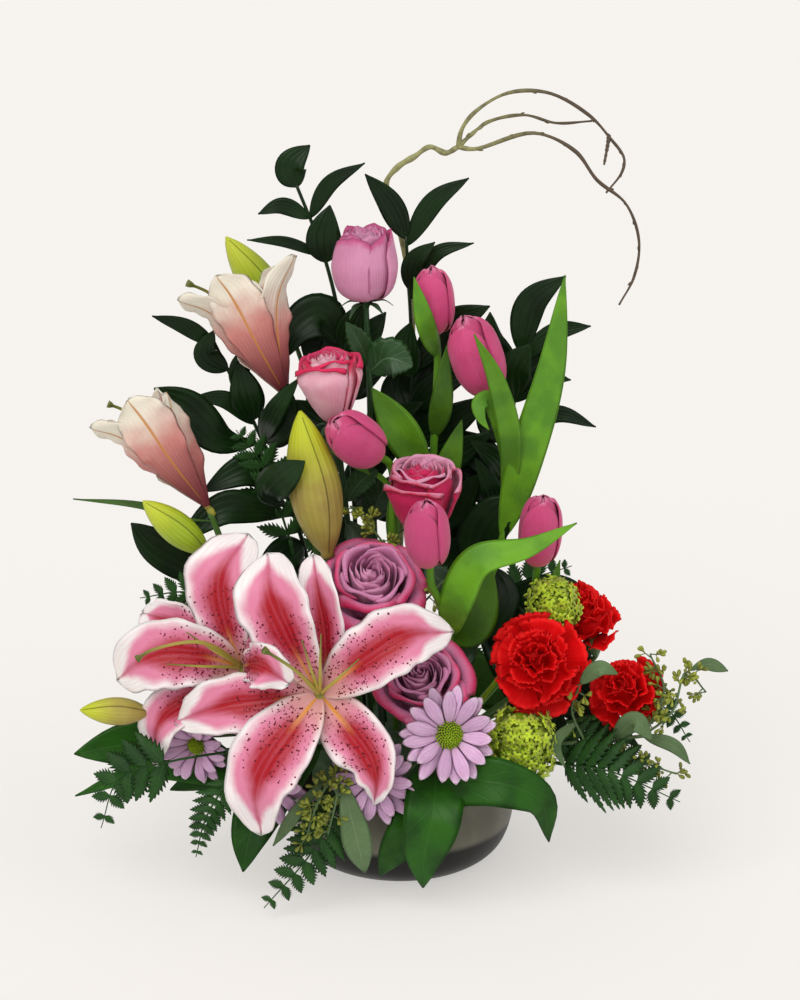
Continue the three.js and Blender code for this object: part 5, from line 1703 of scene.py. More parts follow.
@dataclass(frozen=True)
class LilyStem:
    """A lily stem with its side shoots, buds and leaves."""

    name: str
    stem: Stem
    shoots: Sequence[Shoot]
    buds: Sequence[Bud]
    leaves: Sequence[Leaf] = ()
    bud_look: Look = Look.LILY_BUD_GREEN

    def build(self, shop: Workshop) -> None:
        """Builds and dresses the stem and its buds.

        Args:
            shop: Makes its pieces.
        """
        shape = Shape()
        path = self.stem.grow(shape, 0.1)
        paths = []
        for shoot in self.shoots:
            carrier = path if shoot.parent < 0 else paths[shoot.parent]
            points = through(closest(carrier, shoot.places[0]), *shoot.places[1:]).points(20)
            shape.tube(points, np.linspace(shoot.thick, shoot.thin, 21), 8, 0.1)
            paths.append(np.concatenate([points[:1], points]))
        grow_leaves(shape, self.leaves, path, 0.5)
        shop.piece(self.name, "green", Look.LILY_GREEN, "lily_green", shape)
        heads = Shape()
        for i, bud in enumerate(self.buds):
            bud.grow(heads, 0.3 * i)
        shop.piece(self.name, "buds", self.bud_look, "lily_green", heads)


@dataclass(frozen=True)
class Daisy:
    """A daisy chrysanthemum: two rounds of long rays and a disc of packed florets."""

    number: int
    centre: Place
    towards: tuple[float, float, float]
    radius: float
    cup: float
    rays: int = 11
    florets: int = 130
    seed: int = 120

    def build(self, shop: Workshop) -> None:
        """Builds and dresses the rays and the disc.

        Args:
            shop: Makes its pieces.
        """
        node, wide, start = f"daisy_{self.number}", self.radius, seen(self.centre)
        place = Polar(start, start + at(*self.towards), 0.2 * self.number)
        roll = np.random.default_rng(self.seed + self.number)
        shares = np.linspace(0, 1, 15)
        half = np.maximum(0.15 * wide * swell(shares, 0.6, 0.62), 0.6)
        shape = Shape()
        for depth in range(2):
            for k in range(self.rays):
                angle = 2 * math.pi * (k + 0.5 * depth) / self.rays + 0.12 * roll.uniform(-1, 1)
                reach = wide * (0.93 + 0.07 * roll.uniform(-1, 1)) * (1 - 0.1 * depth)
                rise = self.cup * (0.8 + 0.9 * depth + 0.5 * roll.uniform(-1, 1))
                path = place(
                    0.14 * wide + (reach - 0.14 * wide) * shares, angle,
                    wide * (0.02 * depth + rise * np.sin(2.2 * shares) - 0.02),
                )
                grid = ribbon(
                    path, half, place.axis, 8 * roll.uniform(-1, 1), 7,
                    lambda s, t, w: -0.3 * w * s * s + 0.12 * w * np.cos(3 * math.pi * s),
                )
                shape.plate(grid, RAY_THICKNESS, roll.uniform(-0.8, 0.8))
        shop.piece(node, "rays", Look.DAISY, "daisy_petal", shape)
        floret = Shape()
        floret.tube([[0, 0, -0.6], [0, 0, 0.5], [0, 0, 0.9]], (0.75, 0.7, 0.3), 6)
        dome = 0.27 * wide
        places = []
        for i in range(self.florets):
            share = math.sqrt((i + 0.5) / self.florets)
            point = place(dome * share, GOLDEN_ANGLE * i, wide * (0.22 - 0.2 * share**2.4))
            tilt = (place(dome, GOLDEN_ANGLE * i, 0.0) - start) / dome
            places.append((point, unit(place.axis + 0.9 * share**2 * tilt), dome / 9.0))
        shop.copies(node, "disc", Look.DAISY_DISC, "daisy_petal", floret, places, self.number)


@dataclass(frozen=True)
class DaisySpray:
    """A spray's stem with a neck under each of its daisies."""

    name: str
    stem: Stem
    necks: Sequence[tuple[Daisy, Place]]

    def build(self, shop: Workshop) -> None:
        """Builds and dresses the spray.

        Args:
            shop: Makes its piece.
        """
        shape = Shape()
        path = self.stem.grow(shape)
        for daisy, fork in self.necks:
            out, centre, start = unit(at(*daisy.towards)), seen(daisy.centre), closest(path, fork)
            behind = centre - 12 * out
            points = Curve([start, start + 0.6 * (behind - start), behind, centre - 1.2 * out]).points(18)
            flare = eased(np.linspace(0, 1, 19), 0.72, 1.0)
            shape.tube(points, 1.25 + (0.2 * daisy.radius - 1.25) * flare, 9)
        shop.piece(self.name, "stems", Look.STEM_GREEN, "daisy_green", shape)


@dataclass(frozen=True)
class Viburnum:
    """A snowball head of small five-lobed florets on its stem."""

    number: int
    centre: Place
    radii: tuple[float, float, float]
    florets: int
    stem: Stem
    covered: float = 1.0
    seed: int = 200

    def build(self, shop: Workshop) -> None:
        """Builds and dresses the head and its stem.

        Args:
            shop: Makes its pieces.
        """
        node, slot = f"viburnum_{self.number}", "viburnum_floret"
        heart, size = seen(self.centre), at(*self.radii)
        shape = Shape()
        self.stem.grow(shape, 0.1)
        roll = np.random.default_rng(self.seed + self.number)
        places = []
        for i in range(self.florets):
            z = 1 - 2 * (i + 0.5) / self.florets
            ring = math.sqrt(1 - z * z)
            out = at(ring * math.cos(GOLDEN_ANGLE * i), ring * math.sin(GOLDEN_ANGLE * i), z)
            point = heart + out * size * (0.97 + 0.14 * roll.uniform(-1, 1))
            aim, scale = unit(out + 0.35 * roll.uniform(-1, 1, 3)), roll.uniform(1.15, 1.6)
            if z > self.covered:
                continue
            places.append((point, aim, scale))
            if i % 2:
                shape.tube([heart + out * size * f for f in (0.1, 0.6, 1.0)], (0.7, 0.6, 0.5), 4, -0.4)
        # A darker ball under the florets: painted shade in the gaps between them.
        turns = np.linspace(math.pi - 0.08, 0.08, 13)
        spine = heart + np.cos(turns)[:, None] * at(0, 0, 0.8 * size[2])
        shape.tube(spine, 0.4 * (size[0] + size[1]) * np.sin(turns), 18, -0.6)
        shop.piece(node, "stalks", Look.DAISY_DISC, slot, shape)
        shop.copies(node, "florets", Look.VIBURNUM, slot, self.floret(), places, self.number)

    def floret(self) -> Shape:
        """One floret: five rounded lobes that dip to a small eye.

        Returns:
            Its shape.
        """
        shape = Shape()
        index = np.arange(15)
        angles, reach = index * 2 * math.pi / 15, np.where(index % 3 == 0, 1.8, 3.5)
        ring = np.stack([reach * np.cos(angles), reach * np.sin(angles), 0.25 * reach], axis=1)
        after, top, under = np.roll(index, -1), np.full(15, 15), np.full(15, 16)
        faces = [np.stack([index, after, top, top], 1), np.stack([after, index, under, under], 1)]
        uv = np.stack([np.full(17, 0.5), np.append(reach / 3.5, [0.0, 0.0])], axis=1)
        verts = np.concatenate([ring, [[0, 0, 0.1], [0, 0, -0.5]]])
        shape.add(verts, np.concatenate(faces), uv, 0.3, np.append(np.zeros(16), 1.0))
        return shape


# ---- greens


@dataclass(frozen=True)
class Spray:
    """A stem of leaves, all of one look; with from_tip they all leave its tip."""

    name: str
    stem: Stem
    leaves: Sequence[Leaf]
    look: Look
    slot: str
    from_tip: bool = False

    def build(self, shop: Workshop) -> None:
        """Builds and dresses the spray.

        Args:
            shop: Makes its piece.
        """
        shape = Shape()
        path = self.stem.grow(shape)
        for i, leaf in enumerate(self.leaves):
            grown = replace(leaf, rib=(path[-1], *leaf.rib)) if self.from_tip else leaf
            start = path[-1] if self.from_tip else closest(path, leaf.rib[0])
            grown.grow(shape, 0.5 * math.sin(2.7 * i + len(self.name)), start)
        shop.piece(self.name, "leaves", self.look, self.slot, shape)


@dataclass(frozen=True)
class Seeded:
    """A eucalyptus twig that carries clusters of seeds."""

    places: Sequence[Place]
    clusters: int


@dataclass(frozen=True)
class Eucalyptus:
    """A spray of seeded eucalyptus."""

    name: str
    stem: Stem
    twigs: Sequence[Seeded]
    leaves: Sequence[Leaf] = ()
    seed: int = 300

    def build(self, shop: Workshop) -> None:
        """Builds and dresses the twigs, the leaves and the seeds.

        Args:
            shop: Makes its pieces.
        """
        shape = Shape()
        path = self.stem.grow(shape)
        roll = np.random.default_rng(self.seed + len(self.name))
        seeds = []
        for twig in self.twigs:
            curve = through(*twig.places)
            points = curve.points(24)
            path = np.concatenate([path, points])
            shape.tube(points, np.linspace(1.0, 0.6, 25), 6, 0.2)
            for k in range(1, 3 * twig.clusters + 1):
                hub = curve.at((k + 1) / (3 * twig.clusters + 1))
                aside = unit(roll.uniform(-1, 1, 3) * at(1, 0.6, 1))
                tip = hub + roll.uniform(3.0, 6.0) * aside
                shape.tube([hub, (hub + tip) / 2, tip], (0.5, 0.45, 0.4), 5, 0.3)
                for _ in range(5):
                    out = unit(aside + 0.9 * unit(roll.uniform(-1, 1, 3)))
                    seeds.append((tip, out, roll.uniform(0.95, 1.35)))
        grow_leaves(shape, self.leaves, path, 0.0)
        shop.piece(self.name, "twigs", Look.EUCALYPTUS, "eucalyptus_leaf", shape)
        seed = Shape()
        heights = np.array([0.0, 2.2, 3.3, 4.5, 5.5, 6.1])[:, None]
        seed.tube(heights * at(0, 0, 1), (0.26, 0.28, 0.8, 1.1, 0.95, 0.35), 6)
        shop.copies(
            self.name, "seeds", Look.EUCALYPTUS_SEED, "eucalyptus_leaf", seed, seeds, len(self.name)
        )


@dataclass(frozen=True)
class Fern:
    """Fern fronds that share a stem."""

    name: str
    foot: tuple[float, float]
    fronds: Sequence[Frond]

    def build(self, shop: Workshop) -> None:
        """Builds and dresses the fronds.

        Args:
            shop: Makes its piece.
        """
        shape = Shape()
        path = Stem(self.foot, self.fronds[0].rib[0], thick=1.5, thin=1.3).grow(shape)
        for i, frond in enumerate(self.fronds):
            if i:
                start = closest(path, (seen(self.fronds[0].rib[0]) + path[1]) / 2)
                end = seen(frond.rib[0])
                shape.tube([start, (start + end) / 2, end], (1.3, 1.2, 1.1), 6)
            frond.grow(shape, 0.3 * i)
        shop.piece(self.name, "fronds", Look.FERN, "fern_leaf", shape)


@dataclass(frozen=True)
class Willow:
    """The curly willow twig that forks into arching branches with small buds."""

    trunk: Stem
    branches: Sequence[Sequence[Place]]
    bud_gap: float = 15.0
    seed: int = 11

    def build(self, shop: Workshop) -> None:
        """Builds and dresses the twig.

        Args:
            shop: Makes its pieces.
        """
        shape = Shape()
        path = self.trunk.path(90)
        shares = np.linspace(0, 1, len(path))
        uneven = 1 + 0.12 * np.sin(60 * shares) + 0.1 * np.sin(23 * shares)
        shape.tube(path, (2.4 - 0.6 * shares) * uneven, 9, 0.1)
        roll = np.random.default_rng(self.seed)
        buds = []
        lines = [(path[60:], 1.9)]
        for places in self.branches:
            points = through(*places).points(60)
            shares = np.linspace(0, 1, 61)
            radii = (1.55 - 0.75 * shares) * (1 + 0.14 * np.sin(38 * shares) + 0.08 * np.sin(17 * shares))
            shape.tube(points, radii, 8, 0.1)
            lines.append((points, 1.3))
        for points, girth in lines:
            length = np.linalg.norm(np.diff(points, axis=0), axis=1).sum()
            for k in range(1, int(length / self.bud_gap)):
                i = int(k * self.bud_gap / length * (len(points) - 1))
                t = unit(points[i + 1] - points[i - 1])
                out = unit(np.cross(t, unit(roll.uniform(-1, 1, 3))))
                buds.append((points[i] + 0.5 * girth * out, unit(2.2 * t + out), roll.uniform(0.6, 0.95)))
        shop.piece("willow", "twig", Look.WILLOW, "willow_bark", shape)
        bud = Shape()
        bud.tube(np.array([-0.5, 0.6, 1.8, 3.2, 4.4])[:, None] * at(0, 0, 1), (0.9, 1.15, 1.1, 0.75, 0.2), 6)
        shop.copies("willow", "buds", Look.WILLOW, "willow_bark", bud, buds, 4)


# ---- the arrangement


def leaf(width: float, *rib: Place, **more: float) -> Leaf:
    """A leaf from its width and the places of its rib."""
    return Leaf(rib, width, **more)


def tepal(width: float, *rib: Place, **more: float) -> Tepal:
    """A tepal from its width and the places of its rib."""
    return Tepal(rib, width, **more)


def roses() -> list[Rose]:
    """The five roses, from the top down."""
    rows = [
        ((366, 302, 12), (364, 228, 6), 24, 0.1, 0.1, 0.92, Look.ROSE_BLUSH, (-12, 20),
         [(372, 480, 14), (369, 370, 13)],
         [leaf(31, (369, 372, 13), (388, 358, 0), (413, 366, -4), teeth=11, shade=0.8),
          leaf(18, (369, 366, 13), (360, 344, 2), (346, 322, -2), teeth=8),
          leaf(22, (371, 520, 13), (378, 500, -4), (392, 476, -12), teeth=9)]),
        ((336, 424, -20), (328, 352, -22), 25, 0.3, 2.4, 0.56, Look.ROSE_RED_RIM, (-20, 2),
         [(352, 560, -6)],
         [leaf(18, (345, 500, -10), (362, 480, -22), (378, 470, -28), teeth=8),
          leaf(22, (342, 470, -14), (322, 452, -8), (296, 446, 0), teeth=9),
          leaf(20, (347, 520, -8), (360, 540, -16), (378, 548, -20), teeth=8)]),
        ((424, 530, -30), (424, 462, -42), 27, 0.5, 0.2, 0.72, Look.ROSE_HOT, (12, -4), [],
         [leaf(16, (420, 590, -16), (398, 606, -20), (384, 632, -24), teeth=8),
          leaf(22, (419, 560, -16), (440, 580, -30), (462, 610, -36), teeth=8)]),
        ((370, 606, -36), (374, 566, -72), 29, 0.95, 0.7, 0.9, Look.ROSE_LAVENDER, (-12, -20), [],
         [leaf(14, (360, 650, -24), (342, 640, -34), (330, 650, -40), teeth=8)]),
        ((424, 694, -58), (421, 668, -92), 26, 0.9, 2.1, 0.9, Look.ROSE_LAVENDER, (12, -40), [],
         [leaf(15, (421, 712, -48), (440, 706, -66), (462, 704, -70), teeth=8),
          leaf(20, (421, 690, -48), (456, 668, -40), (478, 640, -30), teeth=8)]),
    ]
    return [
        Rose(
            i + 1, base, mouth, radius, turn, Stem(foot, base, mouth, via, hip=5.0), leaves, look,
            opened, waist,
        )
        for i, (base, mouth, radius, opened, turn, waist, look, foot, via, leaves) in enumerate(rows)
    ]


def tulips() -> list[Tulip]:
    """The five tulips."""
    rows = [
        ((436, 335, 18), (431, 268, 10), 13.5, 0.4, (4, 26), [(430, 500, 20), (436, 400, 20)],
         [leaf(14, (437, 358, 18), (424, 320, -6), (414, 277, -8), roll=10, peak=0.4, shade=1.0),
          leaf(26, (412, 486, 18), (402, 434, 2), (372, 388, -2), peak=0.5, fold=0.25),
          leaf(16, (433, 440, 18), (442, 400, 2), (447, 345, 4), shade=-1.6),
          leaf(20, (430, 500, 18), (446, 470, 2), (462, 420, 2), shade=-1.6)]),
        ((490, 394, 6), (464, 318, -8), 17, 0.2, (24, 10), [(506, 520, 2), (503, 440, 6)],
         [leaf(25, (507, 540, 2), (522, 470, -12), (551, 370, -12), (565, 275, -2), rows=34, shade=0.5),
          leaf(16, (506, 520, 2), (510, 440, -18), (496, 380, -26), (474, 334, -36), peak=0.4, rows=30),
          leaf(12, (506, 480, 6), (497, 420, -14), (488, 399, -18), (479, 404, -22), (481, 418, -26),
               (489, 430, -28), rows=30, shade=1.0)]),
        ((378, 456, -36), (334, 422, -60), 16, 0.9, (-2, 4), [(392, 540, -22)],
         [leaf(12, (391, 560, -20), (392, 516, -8), (394, 472, -6), roll=40, shade=-0.8),
          leaf(4, (388, 500, -20), (384, 480, -24), (353, 465, -26), (322, 446, -24), shade=0.6)]),
        ((430, 566, -90), (425, 502, -104), 14, 0.1, (20, -22), [(450, 660, -34), (443, 610, -66)],
         [leaf(25, (446, 640, -50), (457, 600, -84), (478, 562, -92), (528, 548, -88), (577, 523, -78),
               peak=0.36, roll=-20, fold=0.2, rows=36, shade=1.6),
          leaf(26, (448, 650, -46), (478, 620, -50), (492, 566, -46), shade=-1.8)]),
        ((537, 565, -40), (543, 496, -54), 14, 0.5, (42, 0), [(528, 640, -26)],
         [leaf(12, (530, 650, -24), (548, 600, -30), (560, 560, -24), roll=20)]),
    ]
    return [
        Tulip(i + 1, base, tip, radius, turn, Stem(foot, base, tip, via, 3.0, 2.6), leaves)
        for i, (base, tip, radius, turn, foot, via, leaves) in enumerate(rows)
    ]


def carnations() -> list[Carnation]:
    """The three carnations."""
    rows = [
        ((542, 668, -58), (533, 655, -102), 33, 0.2, (34, -28)),
        ((592, 640, -14), (580, 594, -26), 22, 0.9, (54, 2)),
        ((630, 702, -40), (621, 680, -80), 26, 1.4, (54, -20)),
    ]
    return [
        Carnation(i + 1, base, mouth, radius, turn, Stem(foot, base, mouth, (), 1.9, 1.8, hip=3.0))
        for i, (base, mouth, radius, turn, foot) in enumerate(rows)
    ]


def lilies() -> list[Lily]:
    """The two open lilies in front and the two trumpets at the left."""
    half_open = {"peak": 0.6, "curl": 3.0}
    blunt = {"peak": 0.62, "power": 0.6, "curl": 3.0}
    return [
        Lily(1, (320, 694, -116), (-0.35, -1, 0.35), [
            tepal(50, (292, 645, -126), (272, 600, -124), (262, 552, -112), peak=0.62, power=0.5),
            tepal(30, (326, 650, -112), (320, 602, -104), (308, 554, -92), peak=0.6, power=0.5),
            tepal(46, (362, 662, -128), (405, 636, -126), (450, 632, -112), peak=0.5),
            tepal(42, (347, 726, -128), (370, 758, -132), (376, 786, -128), (368, 808, -116),
                  peak=0.34, power=1.0),
            tepal(52, (287, 735, -134), (258, 780, -140), (256, 837, -126), peak=0.5),
            tepal(40, (272, 700, -118), (224, 706, -114), (171, 722, -100), peak=0.54, power=0.5),
        ], [(292, 668, -150), (264, 650, -160)], [(321, 634, -150), (359, 659, -152), (302, 640, -152)]),
        Lily(2, (243, 667, -80), (-0.4, -1, 0.4), [
            tepal(48, (226, 625, -88), (220, 580, -86), (243, 532, -72), peak=0.64, power=0.48),
            tepal(32, (200, 640, -70), (168, 622, -60), (136, 612, -50), power=0.5),
            tepal(48, (200, 656, -92), (155, 656, -92), (110, 680, -80), peak=0.58, power=0.5),
            tepal(32, (212, 690, -84), (164, 716, -86), (149, 765, -74), peak=0.6),
            tepal(28, (258, 644, -96), (272, 630, -98), (288, 621, -90)),
            tepal(30, (250, 664, -112), (266, 668, -144), (287, 684, -144), peak=0.62, power=0.5, curl=4.0),
        ], [(199, 642, -112), (152, 650, -118), (137, 659, -118)], [(186, 632, -112), (166, 664, -112)]),
        Lily(3, (288, 399, 0), (-0.5, -0.35, 0.9), [
            tepal(32, (252, 357, -14), (216, 316, -20), (181, 297, -22), **blunt),
            tepal(37, (258, 346, -24), (236, 304, -28), (217, 274, -28), **blunt),
            tepal(33, (278, 346, -16), (276, 302, -16), (290, 256, -12), **blunt),
            tepal(32, (262, 347, 12), (247, 303, 18), (232, 282, 20), **half_open),
            tepal(30, (278, 345, 10), (270, 302, 14), (272, 268, 14), **half_open),
            tepal(30, (246, 358, 4), (222, 322, 8), (198, 296, 12), **half_open),
        ], [(250, 340, -2), (212, 295, -6), (187, 283, -10)], mouth=(244, 307, -1)),
        Lily(4, (210, 510, -30), (-0.8, -0.4, 0.8), [
            tepal(32, (163, 474, -44), (130, 442, -52), (93, 424, -54), **blunt),
            tepal(38, (172, 462, -54), (146, 424, -60), (127, 399, -60), **blunt),
            tepal(32, (193, 468, -42), (178, 428, -46), (162, 394, -42), **blunt),
            tepal(32, (176, 462, -18), (156, 424, -14), (142, 398, -12), **half_open),
            tepal(28, (190, 466, -24), (174, 428, -22), (154, 390, -22), **half_open),
            tepal(30, (165, 472, -28), (138, 440, -30), (110, 420, -30), **half_open),
        ], [(162, 456, -36), (126, 412, -40), (108, 404, -42)], mouth=(152, 430, -34)),
    ]


def lily_stems() -> list[LilyStem]:
    """The three lily stems with their four buds."""
    tall = Bud((328, 556, -44), (300, 411, -52), 18)
    low = Bud((150, 712, -78), (80, 710, -90), 9.5)
    left = Bud((208, 553, -52), (143, 501, -66), 11)
    back = Bud((288, 322, 46), (226, 237, 40), 13)
    return [
        LilyStem(
            "lily_stem_front",
            Stem((-30, -34), tall.base, tall.tip, [(318, 700, -50), (318, 620, -40)], 3.2, 2.0),
            [Shoot([(320, 690, -50), (320, 696, -84), (320, 694, -116)], 2.4, 2.2),
             Shoot([(320, 700, -50), (280, 698, -54), (254, 680, -62), (243, 667, -80)], 2.4, 2.0),
             Shoot([(262, 690, -60), (205, 712, -58), (150, 712, -78)], 1.6, 1.6, 1)],
            [tall, low], bud_look=Look.LILY_BUD,
        ),
        LilyStem(
            "lily_stem_left", Stem((-50, -4), (210, 512, -30), None, [(262, 640, -22)], 3.0, 2.2),
            [Shoot([(240, 590, -26), (226, 572, -40), (208, 553, -52)])], [left],
            [leaf(5.5, (214, 522, -30), (180, 518, -34), (143, 506, -40), (73, 499, -48), roll=20, peak=0.6)],
        ),
        LilyStem(
            "lily_stem_back", Stem((-32, 10), (288, 400, 0), None, [(322, 580, 2), (304, 470, 4)], 3.0, 2.2),
            [Shoot([(304, 450, 4), (308, 390, 30), (288, 322, 46)])], [back],
        ),
    ]


def daisies() -> list[Daisy]:
    """The five daisies."""
    return [
        Daisy(1, (449, 735, -114), (0.12, -1, 0.25), 36, 0.12),
        Daisy(2, (374, 780, -104), (-0.1, -1, 0.05), 33, 0.14),
        Daisy(3, (203, 668, -60), (-0.3, -1, 0.2), 20, 0.3),
        Daisy(4, (198, 744, -62), (-0.4, -1, -0.1), 29, 0.3),
        Daisy(5, (268, 782, -96), (-0.3, -1, -0.15), 34, 0.2),
    ]


def daisy_sprays(heads: list[Daisy]) -> list[DaisySpray]:
    """The two sprays that carry the daisies."""
    return [
        DaisySpray(
            "daisy_spray_front", Stem((6, -56), (412, 770, -84), thick=2.0, thin=1.6),
            [(heads[0], (412, 770, -84)), (heads[1], (412, 776, -82))],
        ),
        DaisySpray(
            "daisy_spray_left", Stem((-56, -18), (215, 700, -48), None, [(262, 752, -56)], 2.0, 1.6),
            [(heads[2], (215, 700, -48)), (heads[3], (240, 735, -54)), (heads[4], (275, 765, -62))],
        ),
    ]


def viburnums() -> list[Viburnum]:
    """The two snowball heads."""
    rows = [
        ((521, 745, -82), (22, 19, 29), 210, (30, -48), 0.84),
        ((553, 606, -46), (17, 12, 20), 130, (40, -14), 1.0),
    ]
    return [
        Viburnum(i + 1, centre, radii, florets, Stem(foot, centre, thick=1.8, thin=1.6), covered)
        for i, (centre, radii, florets, foot, covered) in enumerate(rows)
    ]


def ruscus() -> list[Spray]:
    """The four stems of pointed dark leaves."""
    rows = [
        ("ruscus_top_left", (-26, 32), [(352, 470, 28), (341, 330, 30), (324, 256, 34)], (296, 184, 38), [
            leaf(22, (297, 187, 38), (291, 166, 34), (310, 145, 36)),
            leaf(12, (309, 218, 36), (330, 184, 34), (365, 163, 30)),
            leaf(12, (309, 218, 36), (282, 206, 32), (258, 214, 28)),
            leaf(25, (326, 262, 34), (324, 236, 28), (330, 205, 30)),
            leaf(8, (324, 256, 34), (285, 242, 28), (247, 240, 24)),
            leaf(32, (343, 345, 30), (322, 316, 26), (298, 328, 20), (283, 360, 14)),
            leaf(20, (344, 350, 28), (352, 326, 24), (364, 303, 20)),
            leaf(20, (344, 360, 28), (366, 338, 24), (386, 312, 24)),
            leaf(24, (347, 400, 28), (360, 380, 22), (384, 372, 20)),
            leaf(24, (349, 430, 28), (322, 420, 16), (296, 400, 12)),
            leaf(28, (351, 470, 28), (372, 450, 20), (392, 420, 18)),
            leaf(26, (352, 510, 26), (374, 500, 16), (398, 506, 10)),
            leaf(26, (352, 540, 24), (328, 530, 14), (300, 510, 10)),
            leaf(24, (344, 372, 30), (326, 372, 34), (304, 352, 34)),
            leaf(26, (345, 380, 30), (370, 360, 34), (400, 352, 34)),
            leaf(24, (343, 345, 32), (320, 352, 38), (300, 336, 40)),
            leaf(26, (352, 500, 30), (366, 470, 38), (398, 452, 40)),
        ]),
        ("ruscus_top", (14, 38), [(412, 470, 40), (411, 330, 42)], (406, 236, 42), [
            leaf(18, (406, 240, 42), (390, 204, 38), (365, 174, 34)),
            leaf(15, (407, 246, 42), (434, 202, 40), (469, 178, 36)),
            leaf(15, (409, 290, 42), (414, 262, 36), (435, 242, 34)),
            leaf(11, (409, 300, 42), (436, 254, 38), (474, 243, 34)),
            leaf(21, (411, 380, 42), (405, 348, 34), (411, 322, 32), shade=1.6),
            leaf(24, (411, 372, 42), (450, 326, 36), (490, 306, 30)),
            leaf(22, (412, 410, 42), (440, 384, 34), (474, 372, 28)),
            leaf(26, (412, 440, 42), (446, 424, 34), (492, 396, 26)),
            leaf(24, (412, 470, 40), (452, 456, 28), (493, 432, 20), shade=0.8),
            leaf(17, (412, 430, 42), (402, 416, 34), (423, 402, 30)),
            leaf(30, (410, 520, 38), (450, 510, 26), (480, 474, 20)),
            leaf(30, (408, 560, 36), (446, 560, 22), (484, 530, 16)),
            leaf(28, (412, 400, 44), (442, 360, 48), (470, 340, 46)),
            leaf(28, (412, 450, 42), (386, 430, 46), (370, 400, 46)),
            leaf(30, (411, 500, 40), (384, 500, 44), (362, 478, 44)),
            leaf(30, (411, 510, 40), (440, 490, 44), (470, 460, 44)),
            leaf(26, (412, 420, 44), (398, 392, 50), (404, 362, 50)),
            leaf(30, (410, 560, 40), (436, 548, 40), (470, 522, 38)),
            leaf(26, (411, 440, 44), (430, 420, 52), (452, 410, 52)),
        ]),
        ("ruscus_right", (42, 22), [(504, 500, 22), (512, 420, 26)], (520, 350, 28), [
            leaf(22, (519, 352, 28), (531, 304, 26), (566, 276, 22)),
            leaf(14, (519, 360, 28), (556, 332, 24), (591, 326, 20)),
            leaf(20, (517, 370, 28), (492, 344, 22), (490, 312, 22)),
            leaf(27, (514, 400, 26), (514, 370, 18), (530, 344, 16)),
            leaf(13, (514, 402, 26), (544, 378, 22), (571, 380, 18)),
            leaf(13, (510, 438, 24), (556, 414, 20), (596, 427, 16)),
            leaf(16, (506, 520, 22), (492, 490, 12), (475, 458, 10), shade=0.6),
            leaf(18, (508, 480, 24), (496, 460, 16), (470, 440, 12)),
            leaf(34, (503, 560, 22), (480, 540, 8), (500, 512, 2), (523, 507, 0), shade=0.6),
            leaf(28, (504, 570, 22), (500, 604, 8), (488, 640, 2)),
            leaf(26, (500, 600, 20), (524, 630, 6), (560, 640, 0)),
            leaf(30, (496, 620, 18), (548, 680, -10), (612, 742, -30)),
            leaf(22, (498, 610, 18), (560, 590, 10), (606, 620, 6)),
            leaf(24, (516, 385, 28), (540, 366, 34), (560, 350, 34)),
            leaf(26, (505, 480, 24), (478, 452, 34), (458, 430, 34)),
            leaf(22, (510, 440, 28), (492, 424, 34), (478, 398, 36)),
            leaf(26, (504, 510, 24), (484, 484, 32), (462, 470, 34)),
            leaf(30, (496, 630, 18), (540, 712, -24), (572, 762, -44)),
            leaf(30, (496, 620, 18), (570, 690, -6), (640, 748, -24)),
            leaf(26, (498, 610, 18), (566, 650, 4), (604, 700, -6)),
        ]),
        ("ruscus_left", (-46, 18), [(302, 540, 16), (262, 440, 14)], (214, 342, 12), [
            leaf(12, (216, 345, 12), (186, 327, 10), (152, 316, 6)),
            leaf(18, (226, 372, 12), (206, 354, 8), (214, 330, 6)),
            leaf(15, (240, 400, 12), (240, 368, 6), (254, 341, 4)),
            leaf(24, (254, 420, 12), (246, 392, 4), (238, 362, 4)),
            leaf(15, (262, 442, 12), (276, 410, -18), (299, 378, -26), shade=1.2),
            leaf(30, (262, 440, 12), (280, 420, -4), (288, 384, -8)),
            leaf(13, (256, 425, 12), (226, 400, 4), (190, 398, -2)),
            leaf(29, (262, 444, 12), (222, 440, 0), (188, 410, -8), (154, 388, -12), peak=0.6, shade=0.5),
            leaf(24, (276, 480, 12), (246, 470, -6), (202, 492, -14)),
            leaf(24, (290, 520, 12), (262, 510, -10), (225, 508, -22), (178, 542, -30), peak=0.6, shade=0.8),
            leaf(25, (288, 512, 12), (268, 492, -36), (282, 478, -62), (305, 461, -74), peak=0.6, shade=1.2),
            leaf(26, (296, 545, 14), (280, 560, -6), (252, 600, -14)),
            leaf(27, (302, 575, 14), (205, 572, -12), (160, 548, -18), (131, 523, -22), peak=0.6),
            leaf(26, (300, 560, 14), (310, 590, -4), (330, 640, -10)),
        ]),
    ]
    return [
        Spray(name, Stem(foot, base, None, via, 1.8, 1.2), leaves, Look.RUSCUS, "ruscus_leaf")
        for name, foot, via, base, leaves in rows
    ]


